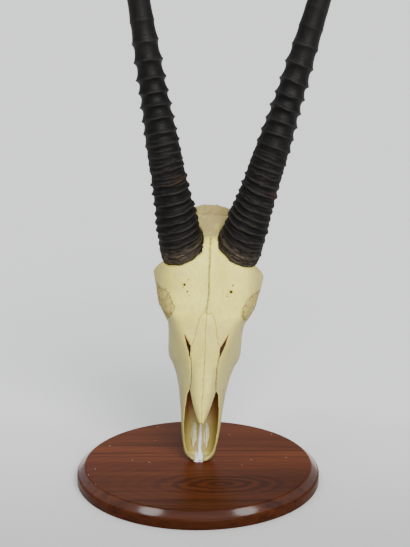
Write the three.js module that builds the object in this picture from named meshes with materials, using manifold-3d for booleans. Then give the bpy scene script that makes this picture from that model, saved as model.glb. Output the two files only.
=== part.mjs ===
// Gemsbok skull with both horns, standing nose down on a round turned wooden base.
// Millimetres, +Z up. The origin is the centre of the base's underside, and the face looks along -Y.
//
// The skull is modelled upright in a frame of its own: z runs up the face from the tip of the muzzle,
// x runs to the animal's left, and y runs back through the head, so the bridge of the nose and the
// forehead lie at negative y. Skull, horns, teeth and plaster are then leant back and a little sideways.

import * as THREE from "three";
import { mergeVertices } from "three/addons/utils/BufferGeometryUtils.js";
import Module from "manifold-3d";

const wasm = await Module();
wasm.setup();

// ---------------------------------------------------------------- driving dimensions

const BASE_RADIUS = 175;
const BASE_HEIGHT = 24;
const BASE_CHAMFER_WIDTH = 12.5;
const BASE_CHAMFER_DROP = 10.5;
const BASE_EDGE_ROUND = 1.5;
const BASE_SIDES = 40;

const SEAT_GAP = 0.35; // between pieces that touch
const MUZZLE_FOOT = new THREE.Vector3(1.3, 0, BASE_HEIGHT + 1.4); // where the tip of the muzzle stands
const LEAN_BACK = THREE.MathUtils.degToRad(20);
const LEAN_SIDE = THREE.MathUtils.degToRad(3.1);

const HORN_LENGTH = 845;
const HORN_SIDES = 12;

// ---------------------------------------------------------------- solids

/** A three.js geometry as a manifold-3d solid, turned the right way out. */
function solidOf(geometry) {
  const bare = geometry.clone();
  bare.deleteAttribute("normal");
  bare.deleteAttribute("uv");
  const merged = mergeVertices(bare, 1e-4);
  const make = (triVerts) =>
    new wasm.Manifold(
      new wasm.Mesh({ numProp: 3, vertProperties: merged.attributes.position.array, triVerts }),
    );
  const triVerts = new Uint32Array(merged.index.array);
  const made = make(triVerts);
  return made.volume() >= 0 ? made : make(triVerts.reverse());
}

/** A manifold-3d solid as a three.js geometry. */
function geometryOf(solid) {
  const mesh = solid.getMesh();
  const geometry = new THREE.BufferGeometry();
  geometry.setAttribute("position", new THREE.BufferAttribute(Float32Array.from(mesh.vertProperties), 3));
  geometry.setIndex(new THREE.BufferAttribute(Uint32Array.from(mesh.triVerts), 1));
  geometry.computeVertexNormals();
  return geometry;
}

/** A closed solid through rings of points, each ring closed, with a flat fan at either end. */
function loft(rings) {
  const sides = rings[0].length;
  const points = rings.flat();
  const index = [];
  for (let r = 0; r + 1 < rings.length; r++) {
    for (let i = 0; i < sides; i++) {
      const a = r * sides + i;
      const b = r * sides + ((i + 1) % sides);
      index.push(a, b, b + sides, a, b + sides, a + sides);
    }
  }
  const fan = (ring, first, flip) => {
    const middle = ring.reduce((sum, p) => sum.add(p), new THREE.Vector3()).divideScalar(sides);
    const hub = points.push(middle) - 1;
    for (let i = 0; i < sides; i++) {
      const a = first + i;
      const b = first + ((i + 1) % sides);
      index.push(...(flip ? [hub, b, a] : [hub, a, b]));
    }
  };
  fan(rings[0], 0, true);
  fan(rings[rings.length - 1], (rings.length - 1) * sides, false);
  const geometry = new THREE.BufferGeometry().setFromPoints(points);
  geometry.setIndex(index);
  return solidOf(geometry);
}

/** The mirror image of a solid across the skull's middle plane. */
const mirrored = (solid) => solidOf(geometryOf(solid).scale(-1, 1, 1));

/** Adds a solid and its mirror image to a body. */
const addPair = (body, solid) => body.add(solid).add(mirrored(solid));

/** Cuts a solid and its mirror image out of a body. */
const cutPair = (body, solid) => body.subtract(solid).subtract(mirrored(solid));

/** An ellipsoid from its centre, radii and turn about x, y and z in degrees, larger all round by grow. */
function ellipsoid([centre, radii, turn], grow = 0, around = 12, rows = 8) {
  const geometry = new THREE.SphereGeometry(1, around, rows);
  geometry.scale(...radii.map((radius) => radius + grow));
  const euler = new THREE.Euler(...turn.map((angle) => THREE.MathUtils.degToRad(angle)));
  geometry.applyQuaternion(new THREE.Quaternion().setFromEuler(euler));
  geometry.translate(...centre);
  return solidOf(geometry);
}

/** A bar of elliptical section along a smooth line. Each stop is [x, y, z, wide, deep]. */
function bar(stops, steps = 8, sides = 10) {
  const line = new THREE.CatmullRomCurve3(stops.map(([x, y, z]) => new THREE.Vector3(x, y, z)));
  const size = new THREE.CatmullRomCurve3(stops.map((s) => new THREE.Vector3(s[3], s[4], 0)));
  const rings = [];
  for (let k = 0; k <= steps; k++) {
    const t = k / steps;
    const centre = line.getPoint(t);
    const along = line.getTangent(t);
    const wide = new THREE.Vector3(1, 0, 0).addScaledVector(along, -along.x).normalize();
    const deep = new THREE.Vector3().crossVectors(along, wide);
    const half = size.getPoint(t);
    const ring = [];
    for (let i = 0; i < sides; i++) {
      const angle = (i / sides) * 2 * Math.PI;
      const point = centre.clone().addScaledVector(wide, half.x * Math.cos(angle));
      ring.push(point.addScaledVector(deep, half.y * Math.sin(angle)));
    }
    rings.push(ring);
  }
  return loft(rings);
}

/**
 * A solid through level outlines that are the same on both sides. Each station is [z, half outline],
 * and the half outline runs from the front of the middle plane round to the back of it as [x, depth],
 * where depth is how far forward the point lies. grow moves every point outwards by that much.
 */
function symmetricLoft(stations, perPoint = 2, grow = 0) {
  const rings = stations.map(([z, half]) => {
    const depths = half.map(([, depth]) => depth);
    const middle = (Math.max(...depths) + Math.min(...depths)) / 2;
    const right = half.map(([x, depth]) => {
      const outward = new THREE.Vector2(x, depth - middle).setLength(grow);
      return new THREE.Vector3(x + (x > 0 ? outward.x : 0), -(depth + outward.y), z);
    });
    const left = right.slice(1, -1).reverse().map((p) => new THREE.Vector3(-p.x, p.y, p.z));
    const outline = new THREE.CatmullRomCurve3([...right, ...left], true, "centripetal");
    const count = (right.length + left.length) * perPoint;
    return Array.from({ length: count }, (_, i) => outline.getPoint(i / count));
  });
  return loft(rings);
}

// ---------------------------------------------------------------- the skull's outlines

// Height up the face, then the half outline from the bridge of the nose round to the palate.
const SKULL_STATIONS = [
  [0, [[0, 4], [5, 4], [9, 3.5], [11, 1], [11, -2], [9, -4], [6, -5], [0, -5]]],
  [4, [[0, 5], [8, 5], [14, 4.5], [16.8, 1], [16.5, -4], [15, -7], [10, -8], [0, -8]]],
  [10, [[0, 6], [10, 6], [18, 5.5], [21.3, 1], [21.5, -5], [19, -10], [13, -12], [0, -12]]],
  [20, [[0, 8], [12, 8], [20.5, 7.5], [23.7, 2], [23.5, -6], [20.5, -13], [14, -15.5], [0, -15.5]]],
  [34, [[0, 12], [13, 12], [22.5, 11], [26, 4], [26, -7], [22, -16], [15, -19.5], [0, -19.5]]],
  [57, [[0, 19], [14, 19], [23.5, 18], [28.3, 9], [28.5, -6], [24, -20], [16, -26], [0, -26.5]]],
  [80, [[0, 26], [15, 26], [23.5, 25], [29.6, 14], [31.2, -5], [27, -24], [18, -33], [0, -33]]],
  [100, [[0, 33], [16, 33], [22, 31], [30, 19], [34.2, -3], [30.5, -27], [24, -40], [0, -38]]],
  [120, [[0, 38], [13, 37.5], [20.5, 35], [31, 23], [38.2, 2], [35.5, -26], [29, -48], [0, -43]]],
  [138, [[0, 40], [14, 39.5], [22, 37], [34, 25], [44.2, 2], [43, -24], [34, -54], [0, -48]]],
  [150, [[0, 41], [15, 40.5], [24, 38.5], [37, 27], [48, 8], [51, -20], [38, -58], [0, -52]]],
  [162, [[0, 41.5], [17, 41.5], [28, 39.5], [40, 29], [49.5, 12], [53, -22], [40, -62], [0, -56]]],
  [199, [[0, 42], [24, 42.2], [41, 40.5], [50, 33], [55, 15], [53, -28], [34, -68], [0, -64]]],
  [207, [[0, 42.2], [27, 42.8], [46, 41], [56, 33], [60.5, 15], [52, -30], [28, -66], [0, -64]]],
  [220, [[0, 42.6], [30, 43.6], [51, 41.3], [63, 33], [68.2, 18], [49, -28], [22, -66], [0, -64]]],
  [242, [[0, 43], [32, 44.5], [56, 42.5], [70, 34], [74.3, 21], [46, -22], [20, -68], [0, -68]]],
  [271, [[0, 43], [32, 45], [58, 42.3], [74, 31], [79.7, 18], [45, -18], [22, -76], [0, -80]]],
  [284, [[0, 42.5], [30, 44.5], [54, 40], [66, 27], [70.5, 12], [44, -20], [24, -80], [0, -85]]],
  [297, [[0, 41], [26, 42], [44, 35], [54, 20], [54, 5], [42, -25], [26, -84], [0, -90]]],
  [312, [[0, 37.5], [22, 37], [36, 28], [45, 12], [45, -8], [43, -35], [28, -90], [0, -94]]],
  [328, [[0, 27], [19, 26], [33, 17], [42, 2], [44, -15], [44, -45], [30, -94], [0, -96]]],
  [343, [[0, 14.5], [19, 13], [33, 5], [41, -8], [44, -28], [46, -55], [34, -97], [0, -97]]],
  [358, [[0, 1], [20, -0.5], [34, -7], [42, -20], [46, -40], [48, -65], [36, -98], [0, -98]]],
  [369, [[0, -10], [21, -11], [32, -16], [40, -28], [43, -46], [44, -70], [34, -92], [0, -96]]],
  [377, [[0, -17], [20, -17.5], [28, -21], [33, -31], [35, -48], [33, -66], [26, -80], [0, -86]]],
  [381, [[0, -22], [16, -22.5], [22, -26], [26, -34], [28, -48], [26, -62], [20, -72], [0, -78]]],
];

// The nasal passage, open to the front beside and below the nose bones.
const PASSAGE_STATIONS = [
  [6, [[0, 60], [5, 60], [10, 30], [10, 0], [6, -3.5], [0, -3.5]]],
  [13, [[0, 60], [9, 60], [16, 30], [16.5, -2], [11, -7], [0, -7]]],
  [31, [[0, 60], [12, 60], [20.5, 30], [22, -4], [17, -13.5], [0, -14]]],
  [57, [[0, 60], [14, 60], [22.5, 34], [25, -2], [19, -20], [0, -21]]],
  [85, [[0, 60], [14, 60], [21.5, 34], [26, 0], [20, -27], [0, -28]]],
  [106, [[0, 50], [12, 48], [18.5, 34], [26, 0], [21, -32], [0, -33]]],
  [114, [[0, 33], [10, 32], [16, 28], [27, 0], [22, -34], [0, -35]]],
  [170, [[0, 33.5], [12.5, 32.5], [19, 28], [29, 0], [22, -47], [0, -48]]],
  [215, [[0, 20], [8, 19], [14, 12], [18, -10], [14, -50], [0, -56]]],
];

// The pair of nose bones: a low arch that narrows to one blunt point.
const NOSE_STATIONS = [
  [53.5, [[0, 41], [2.5, 40.5], [3.5, 39], [2.5, 37.5], [0, 37.5]]],
  [58, [[0, 42], [4, 41], [6, 38], [4, 36.5], [0, 38]]],
  [70, [[0, 42.4], [6, 41], [10.5, 36.5], [8, 35], [0, 38]]],
  [88, [[0, 42.4], [9, 40.8], [16, 34.5], [13, 32.5], [0, 37]]],
  [104, [[0, 42.2], [11, 40.4], [19, 33.5], [16, 31], [0, 36]]],
  [130, [[0, 42.2], [12, 40.6], [20, 34.5], [17, 30], [0, 34]]],
  [165, [[0, 42.6], [12, 41.5], [21, 37], [18, 30], [0, 33]]],
  [205, [[0, 42.8], [8, 42.4], [13, 40], [10, 32], [0, 33]]],
];

// ---------------------------------------------------------------- the horns

// Each horn's foot, from which distances up its line are counted, and how far the line spreads from the
// skull's own upright, in degrees, at its foot, middle and tip.
const HORNS = [
  { name: "left_horn", side: 1, foot: new THREE.Vector3(43.4, -21, 316), spread: [16.5, 13.7, 13.2] },
  { name: "right_horn", side: -1, foot: new THREE.Vector3(-42.3, -22, 312), spread: [14.3, 11.8, 11] },
];
const HORN_SWEEP = [-16, -11, -7]; // the backwards lean, at the foot, the middle and the tip
const HORN_DEEPER = 1.05; // front-to-back size of a horn over its width
const RIM = -12; // the rim's distance
const RIM_SLANT = 0.42; // how far the rim drops, per millimetre of radius
const RIM_TURN = THREE.MathUtils.degToRad(25); // lowest point of the rim, round from the front
const RIM_ROUND = 0.6; // how much the rim's very edge is drawn in
const SLANT_REACH = 200; // how far up the horn its rings keep some of the rim's slant
const SLANT_FADE = 1.35; // how fast that slant dies away

// Distance up the horn, then its radius in the furrows.
const HORN_RADII = [
  [-45, 31.5], [RIM, 31.2], [10, 30.8], [30, 29.4], [50, 27.3], [70, 26], [95, 24.8], [125, 24.1],
  [150, 23.3], [168, 21.9], [187, 20.5], [206, 19.1], [235, 18.1], [270, 17.6], [300, 17.1], [345, 16.3],
  [450, 14.6], [560, 12], [660, 9.2], [750, 6.3], [815, 3.6], [HORN_LENGTH, 1.4],
];

// Distance up the horn of each ring, how far it stands out, and half its height. The low rings are sharp.
const HORN_RINGS = [
  [12, 0.8, 3], [22, 0.9, 3], [33, 1.7, 3.2], [43, 1.6, 3.4], [52, 1.8, 3.4], [64, 1.7, 3.6], [77, 1.8, 4],
  [90, 1.9, 4], [106, 1, 4], [130, 0.9, 4], [150, 1.5, 4.6], [167, 2.2, 5], [185.5, 2.6, 5.2],
  [204.5, 2.9, 5.4], [224, 2.9, 5.6], [244, 2.9, 5.8], [269, 2.6, 6], [296.5, 1.7, 6.4], [325, 0.9, 7],
];
const RING_SHARP = 4; // up to this half height a ring is one edge, and above it a flat band
const RING_LOW = 0.3; // where a ring's lower edge lies, in half heights below its middle
const RING_HIGH = 0.35; // where its upper edge lies, in half heights above its middle
const RING_TOP_SHARE = 0.85; // how far the upper edge stands out, over the lower one
const HORN_POINT_STOPS = [375, 470, 560, 650, 730, 790, 830, HORN_LENGTH];

// The room for a horn's foot: its distances, and how far it is wider than the furrows.
const ROOM_LEVELS = [RIM - SEAT_GAP, 25, 75];
const ROOM_WIDER = 3;

// The bony stump under a horn: distances, radii and slants.
const STUMP_LEVELS = [
  [RIM - 48, 14, 0.2], [RIM - 32, 23, 0.3], [RIM - 14, 28, RIM_SLANT], [RIM + 4, 28.5, RIM_SLANT],
];

/** The radius of a horn in its furrows at a distance from the rim. */
function hornRadius(distance) {
  const next = Math.max(1, HORN_RADII.findIndex(([d]) => d >= distance));
  const [d0, r0] = HORN_RADII[next - 1];
  const [d1, r1] = HORN_RADII[next];
  return THREE.MathUtils.lerp(r0, r1, (distance - d0) / (d1 - d0));
}

/** How far the rings slant down to the front, per millimetre of radius. */
const ringSlant = (distance) =>
  RIM_SLANT * Math.pow(THREE.MathUtils.clamp(1 - distance / SLANT_REACH, 0, 1), SLANT_FADE);

/** A quadratic blend of three values given at the foot, the middle and the tip of a horn. */
function alongHorn([foot, middle, tip], t) {
  return foot * (1 - t) * (1 - 2 * t) + middle * 4 * t * (1 - t) + tip * t * (2 * t - 1);
}

/** The points and directions of a horn's middle line, every few millimetres from its foot up. */
function hornLine({ side, foot, spread }) {
  const step = 2.5;
  const place = foot.clone();
  const marks = [];
  for (let d = 0; d <= HORN_LENGTH; d += step) {
    const t = d / HORN_LENGTH;
    const out = THREE.MathUtils.degToRad(alongHorn(spread, t));
    const back = THREE.MathUtils.degToRad(alongHorn(HORN_SWEEP, t));
    const along = new THREE.Vector3(side * Math.tan(out), Math.tan(back), 1).normalize();
    marks.push({ place: place.clone(), along });
    place.addScaledVector(along, step);
  }
  return (distance) => {
    const nearest = THREE.MathUtils.clamp(Math.floor(distance / step), 0, marks.length - 1);
    const low = marks[nearest];
    const beyond = distance - nearest * step;
    return { place: low.place.clone().addScaledVector(low.along, beyond), along: low.along };
  };
}

/** One ring of points round a horn, slanted down to the front and a little outwards. */
function hornRing(line, side, distance, radius, slant) {
  const { place, along } = line(distance);
  const front = new THREE.Vector3(0, -1, 0).addScaledVector(along, along.y).normalize();
  const outer = new THREE.Vector3().crossVectors(along, front).multiplyScalar(side);
  return Array.from({ length: HORN_SIDES }, (_, i) => {
    const angle = (i / HORN_SIDES) * 2 * Math.PI;
    const point = place.clone().addScaledVector(front, radius * HORN_DEEPER * Math.cos(angle));
    point.addScaledVector(outer, radius * Math.sin(angle));
    return point.addScaledVector(along, -slant * radius * Math.cos(angle - RIM_TURN));
  });
}

/** A horn sheath: rim, rings and the long smooth point. */
function hornSolid(horn) {
  const line = hornLine(horn);
  const rings = [];
  const add = (distance, swell) => {
    const radius = hornRadius(distance) + swell;
    rings.push(hornRing(line, horn.side, distance, radius, ringSlant(distance)));
  };
  add(RIM, -RIM_ROUND);
  let below = RIM;
  for (const [distance, height, reach] of HORN_RINGS) {
    add((below + distance) / 2, 0);
    add(distance - reach * RING_LOW, height);
    if (reach > RING_SHARP) add(distance + reach * RING_HIGH, height * RING_TOP_SHARE);
    below = distance;
  }
  for (const distance of HORN_POINT_STOPS) add(distance, 0);
  return loft(rings);
}

/** The plain room that a horn's foot takes up, with a gap all round it. */
function hornRoom(horn) {
  const line = hornLine(horn);
  const rings = ROOM_LEVELS.map((distance) =>
    hornRing(line, horn.side, distance, hornRadius(distance) + ROOM_WIDER, ringSlant(distance)),
  );
  return loft(rings);
}

// ---------------------------------------------------------------- the skull's other parts

/** The bony stump under a horn, ending in the slanted plane that the horn's rim sits on. */
function hornStump(horn) {
  const line = hornLine(horn);
  const rings = STUMP_LEVELS.map(([distance, radius, slant]) =>
    hornRing(line, horn.side, distance, radius, slant),
  );
  return loft(rings);
}

// Bars of bone as [x, y, z, half width, half depth] at each stop.
const CHEEK_BAR = [ // below the eye socket and back to the ear
  [44, 26, 172, 5, 9], [47, 26, 192, 5, 11], [57, 26, 214, 5, 12], [66, 31, 236, 4.6, 10],
  [70, 38, 260, 4.2, 8], [63, 44, 284, 4, 7.5], [54, 48, 308, 5, 7], [44, 50, 326, 7, 8],
];
const SOCKET_BAR = [ // behind the eye socket, from the brow down to the cheekbone
  [56, -18, 278, 9, 5], [65, -6, 280, 6, 5.5], [68, 12, 280, 4.5, 6], [66, 30, 278, 4, 7],
  [65, 42, 278, 4, 7],
];
const NECK_SPUR = [ // down beside the neck joint
  [42, 70, 350, 7, 9], [42, 92, 348, 5.5, 7.5], [40, 112, 342, 4, 6], [38, 127, 336, 2, 3],
];

// Hollows and knobs of the skull: centre, the three radii, turn about x, y and z in degrees.
const EYE_SOCKET = [[80, 8, 252], [43, 27, 26], [0, 0, 0]];
const TEMPLE_HOLLOW = [[80, 22, 318], [37, 36, 28], [0, 0, 0]];
const NECK_JOINT = [[17, 88, 362], [12, 17, 12], [-25, 0, -15]];
const EAR_BULB = [[31, 96, 320], [8, 10, 13], [0, 0, 0]];
const NECK_HOLE = [[0, 72, 366], [12, 11, 44], [-17, 0, 0]];
const THROAT_HOLLOW = [[0, 74, 232], [14, 34, 34], [0, 0, 0]];
const SIDE_SLIT = [[26, -34, 166], [2.6, 16, 15], [0, 20, -20]];
const PALATE_SLOT = [[8.5, 20, 37], [4, 30, 19], [0, 0, 0]];
const TIP_NOTCH = [[0, 4, 4], [6, 22, 10], [0, 0, 0]];
const BACK_TILT = THREE.MathUtils.degToRad(-14);
const BACK_PLACE = [0, 20, 379]; // a point of the sloping back's plane
const BACK_BLOCK = [200, 300, 120]; // more than the skull reaches, across, deep and high

/** The sloping back of the skull, as the half space behind it. */
function backOfSkull() {
  const block = new THREE.BoxGeometry(...BACK_BLOCK);
  block.translate(0, 0, BACK_BLOCK[2] / 2);
  block.rotateX(BACK_TILT);
  block.translate(...BACK_PLACE);
  return solidOf(block);
}

/** The outer form of the head with the hollow of the muzzle in it, thicker all over by grow. */
function muzzleBlock(grow) {
  const passage = symmetricLoft(PASSAGE_STATIONS, 2, -grow);
  const hollowed = symmetricLoft(SKULL_STATIONS, 2, grow).subtract(passage);
  const slotted = cutPair(hollowed, ellipsoid(PALATE_SLOT, -grow, 8, 6));
  return slotted.subtract(ellipsoid(TIP_NOTCH, -grow, 8, 6));
}

/** Everything of the skull but the tooth sockets and the cut at its foot, in its own frame. */
function skullBody() {
  let skull = muzzleBlock(0).subtract(backOfSkull());
  skull = cutPair(skull, ellipsoid(EYE_SOCKET, 0, 18, 10));
  skull = cutPair(skull, ellipsoid(TEMPLE_HOLLOW));
  skull = addPair(skull, bar(CHEEK_BAR, 9, 7));
  skull = addPair(skull, bar(SOCKET_BAR, 5, 7));
  skull = addPair(skull, bar(NECK_SPUR, 4, 7));
  skull = addPair(skull, ellipsoid(NECK_JOINT, 0, 10, 6));
  skull = addPair(skull, ellipsoid(EAR_BULB, 0, 8, 6));
  skull = skull.add(symmetricLoft(NOSE_STATIONS));
  skull = skull.subtract(ellipsoid(NECK_HOLE)).subtract(ellipsoid(THROAT_HOLLOW));
  skull = cutPair(skull, ellipsoid(SIDE_SLIT, 0, 8, 6));
  for (const horn of HORNS) skull = skull.add(hornStump(horn)).subtract(hornRoom(horn));
  return skull;
}

// ---------------------------------------------------------------- the teeth

// Height up the palate, distance from the middle, length along the row, width and crown height.
const TEETH = [
  ["front_premolar", 99, 21.5, 10.5, 8.5, 10],
  ["middle_premolar", 111, 24, 12, 10.5, 11],
  ["rear_premolar", 124, 26.5, 12.5, 13, 12],
  ["front_molar", 139, 29, 15.5, 15, 13],
  ["middle_molar", 157, 31, 18.5, 16, 14],
  ["rear_molar", 177.5, 31, 20.5, 15, 14],
];
const PALATE_SLOPE = Math.atan2(-62, 195);
const GUM_AT_TIP = 9; // the gum line's depth, carried on down to the tip of the muzzle
const ROOT_DEPTH = 9;
const ROOT_SHARE = 0.86; // how wide the root and the worn top are, over the crown
const CROWN_WIDEST = 0.75; // where up the crown the tooth is widest
const LOBE_DEPTH = 0.12; // the waist between the two lobes
const LOBE_SHARP = 6;
const TOOTH_SIDES = 8;

/** The depth of the tooth row's gum line at a height up the palate. */
const gumLine = (z) => GUM_AT_TIP - Math.tan(PALATE_SLOPE) * z;

/** A cheek tooth: two rounded lobes in a row, narrowing slightly to the worn crown. */
function toothSolid([, z, x, length, width, crown], grow = 0) {
  const levels = [[-ROOT_DEPTH - grow, ROOT_SHARE], [crown * CROWN_WIDEST, 1], [crown, ROOT_SHARE]];
  const rings = levels.map(([depth, share]) =>
    Array.from({ length: TOOTH_SIDES }, (_, i) => {
      const angle = (i / TOOTH_SIDES) * 2 * Math.PI;
      const lobe = 1 - LOBE_DEPTH * Math.pow(Math.sin(angle), LOBE_SHARP);
      const along = (length / 2 - SEAT_GAP / 2) * share + grow;
      const across = (width / 2) * share * lobe + grow;
      return new THREE.Vector3(across * Math.sin(angle), depth, along * Math.cos(angle));
    }),
  );
  const tooth = geometryOf(loft(rings));
  return solidOf(tooth.rotateX(PALATE_SLOPE).translate(x, gumLine(z), z));
}

// ---------------------------------------------------------------- the plaster under the muzzle

// A lump of plaster in and behind the tip of the muzzle, which holds it to the base.
const PLASTER_STATIONS = [
  [-26, [[0, 0], [8, 0], [16, -8], [18, -18], [12, -30], [0, -33]]],
  [0, [[0, 2], [5.5, 1], [10, -6], [14, -15], [10, -26], [0, -28]]],
  [9, [[0, -1], [4.5, -2], [10, -9], [13.5, -17], [9, -26], [0, -28]]],
  [15, [[0, -8], [6, -9.5], [12, -12], [14, -18], [9, -27], [0, -29]]],
  [34, [[0, -15.5], [7, -15.5], [13, -15.5], [14, -20], [9, -28], [0, -30]]],
  [52, [[0, -21.5], [5, -21.5], [12, -21.5], [12, -25], [8, -30], [0, -32]]],
  [60, [[0, -26], [3, -26], [6, -27], [6, -28], [3, -30], [0, -31]]],
];

// ---------------------------------------------------------------- assembly

/** The half space over the base, down to a gap above its top, in the frame of a group that stands there. */
function overBase(group) {
  const reach = 2 * HORN_LENGTH;
  const block = new THREE.BoxGeometry(reach, reach, reach);
  block.translate(0, 0, reach / 2 + BASE_HEIGHT + SEAT_GAP);
  group.updateMatrix();
  return solidOf(block.applyMatrix4(group.matrix.clone().invert()));
}

/** The round base: a disc with a broad chamfer round its top. */
function baseSolid() {
  const rim = BASE_HEIGHT - BASE_CHAMFER_DROP;
  const top = BASE_RADIUS - BASE_CHAMFER_WIDTH;
  const profile = [
    [0, 0], [BASE_RADIUS - BASE_EDGE_ROUND, 0], [BASE_RADIUS, BASE_EDGE_ROUND], [BASE_RADIUS, rim],
    [top + BASE_EDGE_ROUND, BASE_HEIGHT - BASE_EDGE_ROUND], [top - BASE_EDGE_ROUND, BASE_HEIGHT],
    [0, BASE_HEIGHT],
  ];
  const disc = new THREE.LatheGeometry(profile.map(([r, z]) => new THREE.Vector2(r, z)), BASE_SIDES);
  disc.rotateX(Math.PI / 2);
  return solidOf(disc);
}

const wood = new THREE.MeshStandardMaterial({ color: 0x4a1f14, roughness: 0.3, metalness: 0 });
const bone = new THREE.MeshStandardMaterial({ color: 0xd6cba2, roughness: 0.6, metalness: 0 });
const horny = new THREE.MeshStandardMaterial({ color: 0x221f1d, roughness: 0.5, metalness: 0 });
const enamel = new THREE.MeshStandardMaterial({ color: 0xcfc3a0, roughness: 0.4, metalness: 0 });
const plaster = new THREE.MeshStandardMaterial({ color: 0xe2dedb, roughness: 0.8, metalness: 0 });

/** Adds a named mesh of a solid to a group. */
function place(group, name, solid, material) {
  const mesh = new THREE.Mesh(geometryOf(solid), material);
  mesh.name = name;
  group.add(mesh);
}

const trophy = new THREE.Group();
place(trophy, "base", baseSolid(), wood);

const head = new THREE.Group();
head.rotation.set(-LEAN_BACK, LEAN_SIDE, 0, "YXZ");
head.position.copy(MUZZLE_FOOT);
trophy.add(head);

const clear = overBase(head);
let skull = skullBody().intersect(clear);
for (const tooth of TEETH) skull = cutPair(skull, toothSolid(tooth, SEAT_GAP));
place(head, "skull", skull, bone);
for (const horn of HORNS) place(head, horn.name, hornSolid(horn), horny);
for (const tooth of TEETH) {
  const solid = toothSolid(tooth);
  place(head, "left_" + tooth[0], solid, enamel);
  place(head, "right_" + tooth[0], mirrored(solid), enamel);
}
const lump = symmetricLoft(PLASTER_STATIONS, 1).subtract(muzzleBlock(SEAT_GAP));
place(head, "plaster", lump.intersect(clear), plaster);

export default trophy;
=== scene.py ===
"""The looks of a gemsbok skull with both horns, standing nose down on a round turned wooden base.

The head is drawn in millimetres in an upright frame of its own: z runs up the face from the tip of the
muzzle, x runs to the animal's left and y runs back through the head, so the face lies at negative y.
Depths in the outlines below are given as how far forward a point lies, which is -y. HeadPose turns that
frame into the shared one, which is in metres with +Z up.
"""

import logging
import math
from dataclasses import dataclass, field
from enum import Enum

import bpy
import numpy as np
from mathutils import Euler, Matrix, Vector, noise
from mathutils.bvhtree import BVHTree


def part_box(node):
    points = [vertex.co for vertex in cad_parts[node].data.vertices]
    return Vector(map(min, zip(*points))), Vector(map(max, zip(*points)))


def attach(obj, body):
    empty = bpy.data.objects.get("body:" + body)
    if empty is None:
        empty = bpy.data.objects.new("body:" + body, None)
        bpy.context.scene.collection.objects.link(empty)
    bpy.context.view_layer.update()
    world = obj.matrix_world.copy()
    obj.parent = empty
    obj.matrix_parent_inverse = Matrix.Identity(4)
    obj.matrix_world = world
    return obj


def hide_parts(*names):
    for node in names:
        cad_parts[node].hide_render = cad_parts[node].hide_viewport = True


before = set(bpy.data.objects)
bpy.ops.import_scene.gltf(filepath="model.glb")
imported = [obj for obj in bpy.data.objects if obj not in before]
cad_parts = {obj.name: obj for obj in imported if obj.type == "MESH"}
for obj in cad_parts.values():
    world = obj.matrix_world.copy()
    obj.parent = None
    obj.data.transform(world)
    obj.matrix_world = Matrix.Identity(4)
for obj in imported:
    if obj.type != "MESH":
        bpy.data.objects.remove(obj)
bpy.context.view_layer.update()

logging.basicConfig(level=logging.INFO, format="%(message)s")
log = logging.getLogger("trophy")

MM = 0.001
BODY = "root"
AS_MADE = Matrix.Identity(4)
ROUND_X = Matrix.Rotation(math.radians(90), 4, "Y")

Colour = tuple[float, float, float, float]
Pair = tuple[float, float]
Triple = tuple[float, float, float]
Bar = tuple[tuple[float, ...], ...]
Lump = tuple[Triple, ...]
Outline = list[Pair]
Stations = list[tuple[float, Outline]]


class Side(Enum):
    """The animal's own sides. The value is the sign of x."""

    LEFT = 1
    RIGHT = -1


# ---- smooth curves


def smooth_levels(knots: np.ndarray, values: np.ndarray, at: np.ndarray) -> np.ndarray:
    """Runs a smooth curve without overshoot through values that are given at some heights.

    Args:
        knots: The heights, rising.
        values: One row of values to each height, in any shape.
        at: The heights to read the curve at.

    Returns:
        One row of values to each height of at.
    """
    wide = (slice(None),) + (None,) * (values.ndim - 1)
    step = np.diff(knots)[wide]
    slope = np.diff(values, axis=0) / step
    product = slope[1:] * slope[:-1]
    total = slope[1:] + slope[:-1]
    even = 2 * product / np.where(total == 0, 1, total)
    inner = np.where(product > 0, even, 0)
    tangent = np.concatenate([slope[:1], inner, slope[-1:]])
    low = np.clip(np.searchsorted(knots, at, side="right") - 1, 0, len(knots) - 2)
    t = ((at - knots[low]) / np.diff(knots)[low])[wide]
    start, end = values[low], values[low + 1]
    leave, arrive = tangent[low] * step[low], tangent[low + 1] * step[low]
    bend = (2 * t**3 - 3 * t**2 + 1) * start + (t**3 - 2 * t**2 + t) * leave
    return bend + (3 * t**2 - 2 * t**3) * end + (t**3 - t**2) * arrive


def smooth_loop(points: np.ndarray, count: int) -> np.ndarray:
    """Runs smooth closed curves through loops of points.

    Args:
        points: Loops of points, as (loop, point, axis).
        count: How many evenly counted points each smooth loop gets.

    Returns:
        The smooth loops, as (loop, point, axis).
    """
    sides = points.shape[1]
    t = np.arange(count) * sides / count
    low = t.astype(int)
    before, start, end, after = (points[:, (low + k) % sides] for k in (-1, 0, 1, 2))
    span = [np.sqrt(np.linalg.norm(b - a, axis=2, keepdims=True)) + 1e-4
            for a, b in ((before, start), (start, end), (end, after))]
    leave = (start - before) / span[0] - (end - before) / (span[0] + span[1]) + (end - start) / span[1]
    arrive = (end - start) / span[1] - (after - start) / (span[1] + span[2]) + (after - end) / span[2]
    leave, arrive = leave * span[1], arrive * span[1]
    t = (t - low)[None, :, None]
    bend = (2 * t**3 - 3 * t**2 + 1) * start + (t**3 - 2 * t**2 + t) * leave
    return bend + (3 * t**2 - 2 * t**3) * end + (t**3 - t**2) * arrive


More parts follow.
